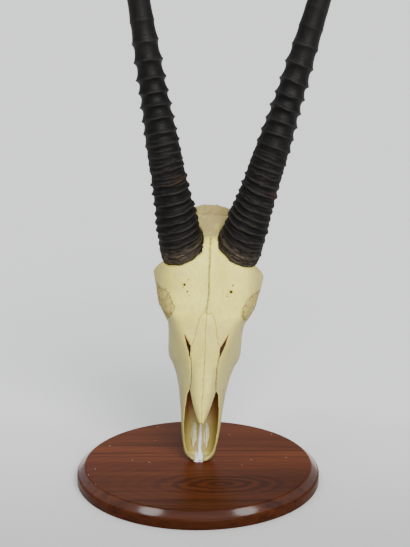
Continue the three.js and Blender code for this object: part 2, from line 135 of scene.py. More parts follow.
def level_rings(stations: Stations, count: int, spacing: float, grow: float = 0.0) -> np.ndarray:
    """Level outlines that are the same on both sides, smooth round and smooth from height to height.

    Args:
        stations: Heights, each with half an outline from the front of the middle round to its back.
        count: Points round each outline.
        spacing: The height between outlines.
        grow: How far every outline is pushed outwards.

    Returns:
        Rings of points as (ring, point, axis).
    """
    knots = np.array([z for z, _ in stations], float)
    half = np.array([outline for _, outline in stations], float)
    other = half[:, -2:0:-1] * (-1, 1)
    levels = np.linspace(knots[0], knots[-1], max(2, round((knots[-1] - knots[0]) / spacing) + 1))
    loops = smooth_loop(smooth_levels(knots, np.concatenate([half, other], axis=1), levels), count)
    if grow:
        middle = (loops.max(axis=1, keepdims=True) + loops.min(axis=1, keepdims=True)) / 2
        away = loops - middle
        loops = loops + grow * away / np.maximum(np.linalg.norm(away, axis=2, keepdims=True), 1)
    heights = np.broadcast_to(levels[:, None], loops.shape[:2])
    return np.stack([loops[..., 0], -loops[..., 1], heights], axis=2)


def bar_rings(stops: list[tuple[float, ...]], steps: int, sides: int) -> np.ndarray:
    """Rings of a bar with an elliptical section along a smooth line.

    Args:
        stops: Points of the line, each with the half width and half depth of the bar there.
        steps: How many rings.
        sides: Points round each ring.

    Returns:
        Rings of points as (ring, point, axis).
    """
    stop = np.array(stops, float)
    reach = np.concatenate([[0], np.cumsum(np.linalg.norm(np.diff(stop[:, :3], axis=0), axis=1))])
    line = smooth_levels(reach, stop, np.linspace(0, reach[-1], steps))
    along = np.gradient(line[:, :3], axis=0)
    along /= np.linalg.norm(along, axis=1, keepdims=True)
    wide = np.array([1.0, 0, 0]) - along * along[:, :1]
    wide /= np.linalg.norm(wide, axis=1, keepdims=True)
    deep = np.cross(along, wide)
    angle = np.arange(sides) * 2 * math.pi / sides
    across = wide[:, None] * line[:, None, 3:4] * np.cos(angle)[None, :, None]
    return line[:, None, :3] + across + deep[:, None] * line[:, None, 4:5] * np.sin(angle)[None, :, None]


# ---- mesh tools


def pick(*pieces: bpy.types.Object) -> None:
    """Selects these objects alone and makes the last one active.

    Args:
        pieces: The objects.
    """
    bpy.ops.object.select_all(action="DESELECT")
    for piece in pieces:
        piece.select_set(True)
    bpy.context.view_layer.objects.active = pieces[-1]


def places(piece: bpy.types.Object) -> np.ndarray:
    """The places of a mesh's vertices.

    Args:
        piece: The mesh.

    Returns:
        One row to each vertex.
    """
    flat = np.empty(len(piece.data.vertices) * 3, np.float32)
    piece.data.vertices.foreach_get("co", flat)
    return flat.reshape(-1, 3).astype(float)


def move_to(piece: bpy.types.Object, where: np.ndarray) -> None:
    """Puts a mesh's vertices at these places."""
    piece.data.vertices.foreach_set("co", where.astype(np.float32).ravel())
    piece.data.update()


def facing(piece: bpy.types.Object) -> np.ndarray:
    """The outward directions at a mesh's vertices.

    Args:
        piece: The mesh.

    Returns:
        One row to each vertex.
    """
    flat = np.empty(len(piece.data.vertices) * 3, np.float32)
    piece.data.vertex_normals.foreach_get("vector", flat)
    return flat.reshape(-1, 3).astype(float)


def paint(piece: bpy.types.Object, name: str, values: np.ndarray) -> None:
    """Stores one number, or one vector, at each vertex for the material to read.

    Args:
        piece: The mesh.
        name: The layer's name.
        values: One number or row to each vertex.
    """
    kind, key = ("FLOAT", "value") if values.ndim == 1 else ("FLOAT_VECTOR", "vector")
    layer = piece.data.attributes.new(name, kind, "POINT")
    layer.data.foreach_set(key, values.astype(np.float32).ravel())


def finish_modifier(piece: bpy.types.Object, kind: str, **settings: object) -> None:
    """Adds a modifier with these settings and applies it.

    Args:
        piece: The mesh.
        kind: The modifier's type.
        settings: Its settings by name.
    """
    pick(piece)
    modifier = piece.modifiers.new(kind.title(), kind)
    for name, value in settings.items():
        setattr(modifier, name, value)
    bpy.ops.object.modifier_apply(modifier=modifier.name)


def combine(piece: bpy.types.Object, tool: bpy.types.Object, operation: str) -> None:
    """Joins a closed tool mesh to a closed piece, or cuts it out, and deletes the tool."""
    finish_modifier(piece, "BOOLEAN", operation=operation, solver="MANIFOLD", object=tool)
    bpy.data.objects.remove(tool)


def cut(piece: bpy.types.Object, *tools: bpy.types.Object) -> None:
    """Cuts closed tool meshes out of a closed piece."""
    for tool in tools:
        combine(piece, tool, "DIFFERENCE")


def add(piece: bpy.types.Object, *tools: bpy.types.Object) -> None:
    """Joins closed tool meshes to a closed piece."""
    for tool in tools:
        combine(piece, tool, "UNION")


def outwards(piece: bpy.types.Object) -> None:
    """Turns all faces of a closed mesh outwards.

    Args:
        piece: The mesh.
    """
    pick(piece)
    bpy.ops.object.mode_set(mode="EDIT")
    bpy.ops.mesh.select_all(action="SELECT")
    bpy.ops.mesh.normals_make_consistent(inside=False)
    bpy.ops.object.mode_set(mode="OBJECT")


def loft(name: str, rings: np.ndarray, layers: dict[str, np.ndarray] | None = None) -> bpy.types.Object:
    """A closed skin over rings of points: a round plate drawn up ring by ring, then laid on the rings.

    Args:
        name: The object's name.
        rings: The rings of points as (ring, point, axis).
        layers: Numbers or vectors to paint on it, by name, in the order of the rings' points.

    Returns:
        The closed mesh, its faces outwards.
    """
    levels, sides = rings.shape[:2]
    bpy.ops.object.select_all(action="DESELECT")
    bpy.ops.mesh.primitive_circle_add(vertices=sides, radius=1, fill_type="NGON")
    piece = bpy.context.object
    piece.name = piece.data.name = name
    bpy.ops.object.mode_set(mode="EDIT")
    for _ in range(levels - 1):
        bpy.ops.mesh.extrude_region_move(TRANSFORM_OT_translate={"value": (0, 0, 1)})
    bpy.ops.object.mode_set(mode="OBJECT")
    start = places(piece)
    turn = np.arctan2(start[:, 1], start[:, 0]) * sides / (2 * math.pi)
    drawn = np.rint(start[:, 2]).astype(int) * sides + np.rint(turn).astype(int) % sides
    move_to(piece, rings.reshape(-1, 3)[drawn])
    for layer, values in (layers or {}).items():
        paint(piece, layer, values[drawn])
    outwards(piece)
    return piece


def settle_unit(name: str, centre: Triple, radii: Triple, turn: Triple, side: Side,
                start: Matrix = AS_MADE) -> bpy.types.Object:
    """Stretches, turns and moves a new solid of unit size to its place on one side of the head.

    Args:
        name: The object's name.
        centre: Its centre, on the animal's left.
        radii: Its three radii.
        turn: Its turn about x, y and z in degrees.
        side: The side of the head that it goes to.
        start: A turn that comes before the rest.

    Returns:
        The solid, its faces outwards.
    """
    piece = bpy.context.object
    piece.name = name
    turned = Euler([math.radians(angle) for angle in turn]).to_matrix().to_4x4()
    mirror = Matrix.Scale(side.value, 4, (1, 0, 0))
    piece.data.transform(mirror @ Matrix.Translation(centre) @ turned @ Matrix.Diagonal((*radii, 1)) @ start)
    outwards(piece)
    return piece


def ball(name: str, centre: Triple, radii: Triple, turn: Triple = (0, 0, 0),
         side: Side = Side.LEFT) -> bpy.types.Object:
    """An ellipsoid on one side of the head.

    Args:
        name: The object's name.
        centre: Its centre, on the animal's left.
        radii: Its three radii.
        turn: Its turn about x, y and z in degrees.
        side: The side of the head that it goes to.

    Returns:
        The closed mesh.
    """
    bpy.ops.object.select_all(action="DESELECT")
    bpy.ops.mesh.primitive_uv_sphere_add(segments=48, ring_count=24, radius=1)
    return settle_unit(name, centre, radii, turn, side)


def torus(name: str, centre: Triple, radii: Triple, turn: Triple, thick: float,
          side: Side) -> bpy.types.Object:
    """A round bar bent to a ring about the x axis, on one side of the head.

    Args:
        name: The object's name.
        centre: Its centre, on the animal's left.
        radii: How far it is stretched along each axis.
        turn: Its turn about x, y and z in degrees.
        thick: The bar's radius over the ring's.
        side: The side of the head that it goes to.

    Returns:
        The closed mesh.
    """
    bpy.ops.object.select_all(action="DESELECT")
    bpy.ops.mesh.primitive_torus_add(major_segments=64, minor_segments=16, major_radius=1, minor_radius=thick)
    return settle_unit(name, centre, radii, turn, side, ROUND_X)


def for_side(rings: np.ndarray, side: Side) -> np.ndarray:
    """Rings drawn for the animal's left, mirrored where they are for its right."""
    return rings * (side.value, 1, 1)


def voxel_skin(piece: bpy.types.Object, size: float) -> None:
    """Gives a closed mesh one even skin of small squares."""
    finish_modifier(piece, "REMESH", mode="VOXEL", voxel_size=size)


def choose_faces(piece: bpy.types.Object, chosen: list[bool] | np.ndarray) -> None:
    """Enters edit mode with these faces alone selected.

    Args:
        piece: The mesh.
        chosen: Whether each face is one of them.
    """
    pick(piece)
    bpy.ops.object.mode_set(mode="EDIT")
    bpy.ops.mesh.select_mode(type="FACE")
    bpy.ops.mesh.select_all(action="DESELECT")
    bpy.ops.object.mode_set(mode="OBJECT")
    piece.data.polygons.foreach_set("select", chosen)
    bpy.ops.object.mode_set(mode="EDIT")


def face_places(piece: bpy.types.Object) -> tuple[np.ndarray, np.ndarray]:
    """The middles and the outward directions of a mesh's faces.

    Args:
        piece: The mesh.

    Returns:
        Two tables with one row to each face.
    """
    both = []
    for name in ("center", "normal"):
        flat = np.empty(len(piece.data.polygons) * 3, np.float32)
        piece.data.polygons.foreach_get(name, flat)
        both.append(flat.reshape(-1, 3).astype(float))
    return both[0], both[1]


def refine(piece: bpy.types.Object, chosen: np.ndarray) -> None:
    """Divides each of the chosen faces in four.

    Args:
        piece: The mesh.
        chosen: Whether each face is one of them.
    """
    choose_faces(piece, chosen)
    bpy.ops.mesh.subdivide(number_cuts=1)
    bpy.ops.object.mode_set(mode="OBJECT")


def shade_smooth(piece: bpy.types.Object, angle: float | None = None) -> None:
    """Shades a mesh smooth, keeping edges sharper than an angle in degrees where one is given.

    Args:
        piece: The mesh.
        angle: The angle, or none.
    """
    pick(piece)
    if angle is None:
        bpy.ops.object.shade_smooth()
    else:
        bpy.ops.object.shade_smooth_by_angle(angle=math.radians(angle))


@dataclass
class Neighbours:
    """Averages over a mesh's vertices and the ones that they share an edge with."""

    piece: bpy.types.Object
    ends: np.ndarray = field(init=False)
    count: np.ndarray = field(init=False)

    def __post_init__(self) -> None:
        """Reads the mesh's edges."""
        flat = np.empty(len(self.piece.data.edges) * 2, np.int32)
        self.piece.data.edges.foreach_get("vertices", flat)
        self.ends = flat.reshape(-1, 2)
        self.count = np.maximum(np.bincount(flat, minlength=len(self.piece.data.vertices)), 1)

    def mean(self, values: np.ndarray) -> np.ndarray:
        """The mean of each vertex's neighbours.

        Args:
            values: One number or row to each vertex.

        Returns:
            The means in the same shape.
        """
        rows = values.reshape(len(values), -1)
        first, second = self.ends.T
        total = np.stack([np.bincount(first, column[second], len(values))
                          + np.bincount(second, column[first], len(values)) for column in rows.T], axis=1)
        return (total / self.count[:, None]).reshape(values.shape)

    def smoothed(self, values: np.ndarray, rounds: int) -> np.ndarray:
        """The values after some rounds of averaging with their neighbours.

        Args:
            values: One number or row to each vertex.
            rounds: How many rounds.

        Returns:
            The averaged values.
        """
        for _ in range(rounds):
            values = (values + self.mean(values)) / 2
        return values

    def hollow(self, rounds: int, reach: float) -> np.ndarray:
        """How hollow, up to 1, or how raised, down to -1, the surface is at each vertex.

        Args:
            rounds: How many rounds of averaging it is measured against.
            reach: The depth that counts as 1.

        Returns:
            One number to each vertex.
        """
        where = places(self.piece)
        rise = np.sum((self.smoothed(where, rounds) - where) * facing(self.piece), axis=1)
        return np.clip(rise / reach, -1, 1)


def blotches(where: np.ndarray, size: Triple, seed: float, octaves: float = 3) -> np.ndarray:
    """Soft noise from about -1 to 1 at each point.

    Args:
        where: The points.
        size: How wide the blotches are along x, y and z.
        seed: Any number, for another pattern.
        octaves: How many finer layers are in it.

    Returns:
        One value to each point.
    """
    scaled = where / np.array(size) + seed
    return np.array([noise.fractal(point, 1.0, 2.0, octaves) for point in scaled.tolist()])


def near_line(points: np.ndarray, line: Outline) -> np.ndarray:
    """The distance of each flat point from a line of straight stretches.

    Args:
        points: The points.
        line: The line's corners.

    Returns:
        One distance to each point.
    """
    stops = np.array(line, float)
    best = np.full(len(points), 1e9)
    for start, end in zip(stops[:-1], stops[1:]):
        way = end - start
        share = np.clip((points - start) @ way / max(way @ way, 1e-9), 0, 1)
        best = np.minimum(best, np.linalg.norm(points - start - share[:, None] * way, axis=1))
    return best


def inside_outline(points: np.ndarray, outline: Outline) -> np.ndarray:
    """Whether each flat point lies inside a closed outline.

    Args:
        points: The points.
        outline: The outline's corners.

    Returns:
        True or false for each point.
    """
    corner = np.array(outline, float)
    within = np.zeros(len(points), bool)
    for a, b in zip(corner, np.roll(corner, -1, axis=0)):
        crosses = (a[1] > points[:, 1]) != (b[1] > points[:, 1])
        height = b[1] - a[1] if b[1] != a[1] else 1e-9
        within ^= crosses & (points[:, 0] < a[0] + (points[:, 1] - a[1]) * (b[0] - a[0]) / height)
    return within


def fade(value: np.ndarray, start: float, end: float) -> np.ndarray:
    """A smooth step from 0 at start to 1 at end."""
    t = np.clip((value - start) / (end - start), 0, 1)
    return t * t * (3 - 2 * t)


# ---- shader expressions


class Shade:
    """A socket of a material's node tree that Python's own operators work on."""

    def __init__(self, graph: "Graph", socket: bpy.types.NodeSocket) -> None:
        """Wraps a socket of a graph."""
        self.graph = graph
        self.socket = socket

    def _math(self, operation: str, first: "Shade | float", second: "Shade | float") -> "Shade":
        """Adds a Math node."""
        return self.graph.node("ShaderNodeMath", {"operation": operation}, {0: first, 1: second})

    def __add__(self, other: "Shade | float") -> "Shade":
        """The sum."""
        return self._math("ADD", self, other)

    def __sub__(self, other: "Shade | float") -> "Shade":
        """The difference."""
        return self._math("SUBTRACT", self, other)

    def __rsub__(self, other: float) -> "Shade":
        """The difference from a number."""
        return self._math("SUBTRACT", other, self)

    def __mul__(self, other: "Shade | float") -> "Shade":
        """The product."""
        return self._math("MULTIPLY", self, other)

    __radd__ = __add__
    __rmul__ = __mul__


class Graph:
    """The node tree of one new material."""

    def __init__(self, name: str) -> None:
        """Makes an empty material.

        Args:
            name: The material's name.
        """
        self.material = bpy.data.materials.new(name)
        self.material.use_nodes = True
        self.tree = self.material.node_tree
        self.tree.nodes.clear()

    def node(self, kind: str, settings: dict | None = None, inputs: dict | None = None,
             output: int | str = 0) -> Shade | None:
        """Adds a node.

        Args:
            kind: The node's type.
            settings: Its settings, set before its sockets.
            inputs: Values or links of its sockets, by name or number.
            output: The socket to give back.

        Returns:
            The wrapped output, or None from a node that has none.
        """
        made = self.tree.nodes.new(kind)
        for name, value in (settings or {}).items():
            setattr(made, name, value)
        for name, value in (inputs or {}).items():
            if isinstance(value, Shade):
                self.tree.links.new(value.socket, made.inputs[name])
            else:
                made.inputs[name].default_value = value
        return Shade(self, made.outputs[output]) if made.outputs else None

    def layer(self, name: str) -> Shade:
        """A number painted on the mesh."""
        return self.node("ShaderNodeAttribute", {"attribute_name": name}, output="Fac")

    def place(self, scale: Triple, layer: str | None = None) -> Shade:
        """The place on the object, or a painted vector, stretched by a scale.

        Args:
            scale: The stretch along each axis.
            layer: The painted vector's name, or none.

        Returns:
            The vector.
        """
        if layer:
            where = self.node("ShaderNodeAttribute", {"attribute_name": layer}, output="Vector")
        else:
            where = self.node("ShaderNodeTexCoord", output="Object")
        return self.node("ShaderNodeMapping", inputs={"Vector": where, "Scale": scale})

    def vector(self, operation: str, first: Shade, second: Triple | None = None,
               output: str = "Vector") -> Shade:
        """Vector maths.

        Args:
            operation: The Vector Math node's operation.
            first: The first vector.
            second: The second vector, where the operation takes two.
            output: Value where the result is a number.

        Returns:
            The result.
        """
        inputs = {0: first} if second is None else {0: first, 1: second}
        return self.node("ShaderNodeVectorMath", {"operation": operation}, inputs, output)

    def axis(self, where: Shade, name: str) -> Shade:
        """One axis of a vector."""
        return self.node("ShaderNodeSeparateXYZ", inputs={"Vector": where}, output=name)

    def grain(self, where: Shade, scale: float, detail: float = 3, rough: float = 0.5,
              bend: float = 0) -> Shade:
        """Noise from 0 to 1."""
        return self.node("ShaderNodeTexNoise", inputs={
            "Vector": where, "Scale": scale, "Detail": detail, "Roughness": rough, "Distortion": bend})

    def step(self, value: Shade, start: float, end: float) -> Shade:
        """A smooth step from 0 at start to 1 at end."""
        return self.node("ShaderNodeMapRange", {"interpolation_type": "SMOOTHSTEP"},
                         {"Value": value, "From Min": start, "From Max": end})

    def mix(self, share: Shade, first: "Shade | Colour", second: "Shade | Colour") -> Shade:
        """Blends two colours."""
        return self.node("ShaderNodeMix", {"data_type": "RGBA"}, {0: share, 6: first, 7: second}, output=2)

    def finish(self, colour: "Shade | Colour", roughness: "Shade | float", height: Shade, relief: float,
               **others: Shade | float) -> bpy.types.Material:
        """Closes the material.

        Args:
            colour: The base colour.
            roughness: The roughness.
            height: The fine relief, from 0 to 1.
            relief: How deep the fine relief is, in metres.
            others: The shader's other sockets by name: numbers that are the same all over, or a coat weight.

        Returns:
            The material.
        """
        bump = self.node("ShaderNodeBump", inputs={"Height": height, "Distance": relief, "Strength": 1.0})
        inputs = {"Base Color": colour, "Roughness": roughness, "Normal": bump}
        for name, value in others.items():
            inputs[name.replace("_", " ").title().replace("Ior", "IOR")] = value
        surface = self.node("ShaderNodeBsdfPrincipled", inputs=inputs)
        self.node("ShaderNodeOutputMaterial", inputs={"Surface": surface})
        return self.material


# ---- finishes


@dataclass(frozen=True)
class BoneFinish:
    """Dry cleaned bone: ivory, with tan rough patches, dark sutures and brown inner walls, with painted shade
    and a painted highlight.

    Scales are how many times a pattern repeats in a metre, and the relief is in metres, here and below.
    """

    ivory: Colour = (0.80, 0.70, 0.108, 1)
    cream: Colour = (0.87, 0.80, 0.15, 1)
    beige: Colour = (0.33, 0.255, 0.082, 1)
    grey: Colour = (0.42, 0.385, 0.14, 1)
    tan: Colour = (0.315, 0.20, 0.044, 1)
    # Dark joints and cracks, also used as painted shade in the small holes and beside raised bone.
    seam: Colour = (0.085, 0.066, 0.028, 1)
    brown: Colour = (0.43, 0.185, 0.064, 1)
    olive: Colour = (0.29, 0.22, 0.044, 1)
    # Near black, for painted shade on the floors of the nose slits.
    deep: Colour = (0.016, 0.006, 0.0025, 1)
    cloud_scale: float = 22
    fibre_scale: float = 420
    fibre_stretch: float = 0.18
    speckle_scale: float = 240
    rough_scale: float = 130
    pore_scale: float = 900
    relief: float = 0.00025

    def material(self) -> bpy.types.Material:
        """Builds the material.

        Returns:
            The material.
        """
        graph = Graph("bone")
        where = graph.place((1, 1, 1))
        fibre = graph.place((1, 1, self.fibre_stretch))
        cloud = graph.step(graph.grain(where, self.cloud_scale, 4, 0.6), 0.35, 0.7)
        streak = graph.step(graph.grain(fibre, self.fibre_scale, 3, 0.6), 0.4, 0.75)
        colour = graph.mix(cloud, self.ivory, self.cream)
        colour = graph.mix(streak * 0.28, colour, self.beige)
        # Painted shade: bone that faces aside or away is painted greyer.
        colour = graph.mix(graph.layer("flank_shade") * 0.9, colour, self.grey)
        # Painted shade on the outer brows and partly at the crown, with darker beige towards the back, the
        # bridge and the tip.
        colour = graph.mix(graph.layer("age") * 0.85, colour, self.beige)
        # Painted highlight: the forehead's low ridge is painted lighter cream.
        colour = graph.mix(graph.layer("crown") * 0.8, colour, self.cream)
        speckle = graph.step(graph.grain(where, self.speckle_scale, 4, 0.7), 0.3, 0.75)
        colour = graph.mix(graph.layer("tan") * (speckle * 0.75 + 0.22), colour, self.tan)
        rough = graph.step(graph.grain(where, self.rough_scale, 4, 0.75, 0.6), 0.5, 0.64)
        colour = graph.mix(graph.layer("tan") * rough * 0.3, colour, self.seam)
        # Hollows painted tan: partly dirt, partly painted shade in them.
        colour = graph.mix(graph.layer("dirt") * 0.6, colour, self.tan)
        wall = graph.mix(graph.layer("low"), self.brown, self.olive)
        colour = graph.mix(graph.layer("inside"), colour, wall)
        colour = graph.mix(graph.layer("seam"), colour, self.seam)
        # Painted shade on the floors of the nose slits.
        colour = graph.mix(graph.layer("slit"), colour, self.deep)
        pores = graph.grain(where, self.pore_scale, 3, 0.7)
        height = pores * 0.5 + streak * 0.5
        roughness = graph.layer("tan") * 0.25 + 0.42 + pores * 0.12
        return graph.finish(colour, roughness, height, self.relief)


@dataclass(frozen=True)
class HornFinish:
    """Near-black keratin: half glossy, browner and duller where it flakes near the skull, darker lower down,
    with painted highlights on the ring crests and painted shade in the furrows.
    """

    black: Colour = (0.0028, 0.0025, 0.0022, 1)
    grey: Colour = (0.013, 0.0115, 0.0102, 1)
    crest: Colour = (0.0165, 0.0152, 0.0138, 1)
    rust: Colour = (0.022, 0.011, 0.006, 1)
    amber: Colour = (0.042, 0.025, 0.013, 1)
    lower_black: Colour = (0.0006, 0.0005, 0.0005, 1)
    flake: Colour = (0.066, 0.049, 0.033, 1)
    fibre: Colour = (0.19, 0.14, 0.092, 1)
    streak_scale: float = 300
    streak_stretch: float = 0.12
    band_stretch: float = 0.15
    cloud_scale: float = 30
    lamina_scale: float = 520
    rust_scale: float = 300
    flake_scale: float = 420
    thread_scale: float = 700
    lower_reach: Pair = (0.19, 0.11)
    greyer: Pair = (0.2, 0.3)
    gloss: float = 0.14
    relief: float = 0.0005

    def material(self) -> bpy.types.Material:
        """Builds the material.

        Returns:
            The material.
        """
        graph = Graph("horn")
        flow = graph.place((1, 1, self.streak_stretch), "flow")
        bands = graph.place((self.band_stretch, self.band_stretch, 1), "flow")
        where = graph.place((1, 1, 1), "flow")
        streak = graph.grain(flow, self.streak_scale, 4, 0.65)
        cloud = graph.grain(where, self.cloud_scale, 3, 0.6)
        foot = graph.layer("foot")
        # The raised crests are painted lighter: partly wear, partly a painted highlight along each ring.
        worn = graph.layer("worn")
        colour = graph.mix(graph.step(streak, 0.45, 0.8) * 0.5, self.black, self.grey)
        colour = graph.mix(graph.step(cloud, 0.5, 0.8) * 0.22, colour, self.rust)
        lamina = graph.grain(bands, self.lamina_scale, 3, 0.6, 0.4)
        fine = graph.step(lamina, 0.52, 0.7)
        colour = graph.mix(fine * 0.35, colour, self.grey)
        reach = graph.axis(where, "Z")
        # Lower down the horn, under about 0.15 m, the colour is mixed towards black.
        low = graph.step(reach, *self.lower_reach)
        colour = graph.mix(graph.step(reach, *self.greyer) * 0.15, colour, self.crest)
        colour = graph.mix(low * 0.5, colour, self.lower_black)
        # Lighter crests: partly wear, partly a painted highlight.
        colour = graph.mix(worn * (graph.step(streak, 0.3, 0.7) * 0.6 + 0.4), colour, self.crest)
        colour = graph.mix(worn * low * 0.15, colour, self.flake)
        rust = graph.layer("rust")
        rusty = graph.step(graph.grain(bands, self.rust_scale, 3, 0.6), 0.3, 0.65)
        colour = graph.mix(rust * rusty, colour, self.rust)
        # Lighter amber on the crests in the rust patches: partly a painted highlight.
        colour = graph.mix(rust * worn * 0.8, colour, self.amber)
        flaking = graph.step(graph.grain(bands, self.flake_scale, 4, 0.7, 0.6), 0.36, 0.66)
        colour = graph.mix(foot * (flaking * 0.7 + 0.3), colour, self.flake)
        threads = graph.step(graph.grain(bands, self.thread_scale, 2, 0.5, 1.2), 0.6, 0.72)
        colour = graph.mix(foot * threads * 0.8, colour, self.fibre)
        # Painted shade in the furrows between the rings.
        colour = graph.mix(graph.layer("furrow_shade") * 0.8, colour, self.black)
        roughness = foot * 0.1 + low * 0.17 + 0.47 + graph.step(streak, 0.3, 0.8) * 0.15
        height = streak * 0.3 + fine * 0.5 + flaking * foot
        return graph.finish(colour, roughness, height, self.relief, specular_ior_level=self.gloss)


@dataclass(frozen=True)
class WoodFinish:
    """Polished red-brown hardwood with its grain along x."""

    red: Colour = (0.078, 0.019, 0.0062, 1)
    dark: Colour = (0.016, 0.0048, 0.0024, 1)
    light: Colour = (0.135, 0.036, 0.0112, 1)
    dust: Colour = (0.5, 0.46, 0.4, 1)
    heart: Triple = (0.031, -0.079, 0.024)
    oval: Triple = (0.42, 1, 0.6)
    figure_scale: float = 30
    figure_bend: float = 5
    knot: Pair = (0.046, 0.022)
    streak_scale: float = 26
    band_scale: float = 9
    thread_scale: float = 105
    line_scale: float = 330
    speck_scale: float = 75
    dust_scale: float = 30
    dusty_place: Triple = (0.046, -0.006, 0.024)
    dusty_reach: Pair = (0.02, 0.032)
    shaded: Pair = (0.02, -0.165)
    lit: Pair = (0.0, 0.13)
    wall_top: Pair = (0.0145, 0.016)
    chamfer: Pair = (0.1636, 0.165)
    gloss: float = 0.035
    coat_roughness: float = 0.14
    relief: float = 0.00012

    def figure(self, graph: Graph, place: Shade, streaks: Shade, colour: Shade) -> Shade:
        """Adds the oval figure of a cut through a knot.

        Args:
            graph: The material's nodes.
            place: The place on the object.
            streaks: The wood's broad streaks, which stop at the knot.
            colour: The colour so far.

        Returns:
            The colour with the figure.
        """
        oval = graph.vector("MULTIPLY", graph.vector("SUBTRACT", place, self.heart), self.oval)
        knot = graph.step(graph.vector("LENGTH", oval, output="Value"), *self.knot)
        rings = graph.node("ShaderNodeTexWave", {"wave_type": "RINGS", "rings_direction": "Z"}, {
            "Vector": oval, "Scale": self.figure_scale, "Distortion": self.figure_bend, "Detail": 3.0,
            "Detail Scale": 1.3, "Detail Roughness": 0.6})
        colour = graph.mix(graph.step(streaks, 0.56, 0.74) * (1 - knot) * 0.6, colour, self.dark)
        colour = graph.mix(graph.step(rings, 0.35, 0.9) * (knot * 0.34 + 0.13), colour, self.dark)
        return graph.mix(graph.step(rings, 0.4, 0.1) * knot * 0.25, colour, self.light)

    def dusted(self, graph: Graph, place: Shade, colour: Shade) -> Shade:
        """Adds specks of dust, here and there and beside the muzzle.

        Args:
            graph: The material's nodes.
            place: The place on the object.
            colour: The colour so far.

        Returns:
            The colour with the dust.
        """
        speck = graph.node("ShaderNodeTexVoronoi", {"feature": "F1"},
                           {"Vector": place, "Scale": self.speck_scale})
        patchy = graph.step(graph.grain(place, self.dust_scale, 2), 0.54, 0.56)
        beside = graph.vector("DISTANCE", place, self.dusty_place, "Value")
        dusty = 1 - (1 - patchy) * graph.step(beside, *self.dusty_reach)
        return graph.mix((1 - graph.step(speck, 0.05, 0.07)) * dusty, colour, self.dust)

    def material(self) -> bpy.types.Material:
        """Builds the material.

        Returns:
            The material.
        """
        graph = Graph("wood")
        place = graph.place((1, 1, 1))
        streaks = graph.grain(graph.place((0.035, 1, 1)), self.streak_scale, 4, 0.6, 0.25)
        bands = graph.grain(graph.place((0.16, 1, 1)), self.band_scale, 2, 0.5)
        thread = graph.grain(graph.place((0.03, 1, 1)), self.thread_scale, 3, 0.7)
        lines = graph.grain(graph.place((0.02, 1, 1)), self.line_scale, 4, 0.65)
        colour = graph.mix(graph.step(streaks, 0.34, 0.66), self.red, self.light)
        colour = graph.mix(graph.step(bands, 0.46, 0.7) * 0.55, colour, self.dark)
        colour = self.figure(graph, place, streaks, colour)
        colour = graph.mix(graph.step(thread, 0.48, 0.66) * 0.5, colour, self.dark)
        colour = graph.mix(graph.step(lines, 0.5, 0.74) * 0.5, colour, self.dark)
        along = graph.axis(place, "Y")
        colour = graph.mix(graph.step(along, *self.shaded) * 0.6, colour, self.dark)
        colour = graph.mix(graph.step(along, *self.lit) * 0.4, colour, self.light)
        # Painted shade: the upright wall of the board is painted a little darker.
        wall = 1 - graph.step(graph.axis(place, "Z"), *self.wall_top)
        colour = self.dusted(graph, place, graph.mix(wall * 0.1, colour, self.dark))
        out = graph.vector("LENGTH", graph.vector("MULTIPLY", place, (1, 1, 0)), output="Value")
        coat = graph.step(out, *self.chamfer) * (1 - wall) * 0.9
        return graph.finish(colour, bands * 0.12 + 0.24, 1 - graph.step(lines, 0.55, 0.75), self.relief,
                            specular_ior_level=self.gloss, coat_roughness=self.coat_roughness,
                            coat_weight=coat)


@dataclass(frozen=True)
class ToothFinish:
    """Old enamel: ivory crowns with brown stain in the folds and near the gum."""

    enamel: Colour = (0.50, 0.41, 0.17, 1)
    pale: Colour = (0.66, 0.60, 0.33, 1)
    stain: Colour = (0.10, 0.06, 0.028, 1)
    cloud_scale: float = 160
    grain_scale: float = 700
    relief: float = 0.0002

    def material(self) -> bpy.types.Material:
        """Builds the material.

        Returns:
            The material.
        """
        graph = Graph("tooth")
        where = graph.place((1, 1, 1))
        cloud = graph.grain(where, self.cloud_scale, 3, 0.6)
        colour = graph.mix(graph.step(cloud, 0.35, 0.7), self.enamel, self.pale)
        colour = graph.mix(graph.layer("stain") * graph.step(cloud, 0.15, 0.6), colour, self.stain)
        height = graph.grain(where, self.grain_scale, 3, 0.6)
        return graph.finish(colour, cloud * 0.2 + 0.22, height, self.relief)


@dataclass(frozen=True)
class PlasterFinish:
    """White plaster, dull and a little dusty, with painted lilac-grey shade in its pits."""

    white: Colour = (0.74, 0.75, 0.79, 1)
    shade: Colour = (0.46, 0.40, 0.38, 1)
    old: Colour = (0.52, 0.46, 0.19, 1)
    cloud_scale: float = 190
    grain_scale: float = 900
    relief: float = 0.0004

    def material(self) -> bpy.types.Material:
        """Builds the material.

        Returns:
            The material.
        """
        graph = Graph("plaster")
        where = graph.place((1, 1, 1))
        cloud = graph.grain(where, self.cloud_scale, 4, 0.65)
        colour = graph.mix(graph.step(cloud, 0.5, 0.8) * 0.7, self.white, self.shade)
        # Painted shade in the pits.
        colour = graph.mix(graph.layer("pit") * 0.8, colour, self.shade)
        # Olive grey higher up and at the sides, patchy.
        colour = graph.mix(graph.layer("old") * (graph.step(cloud, 0.3, 0.7) * 0.35 + 0.6), colour, self.old)
        height = graph.grain(where, self.grain_scale, 4, 0.7)
        return graph.finish(colour, cloud * 0.1 + 0.75, height, self.relief)


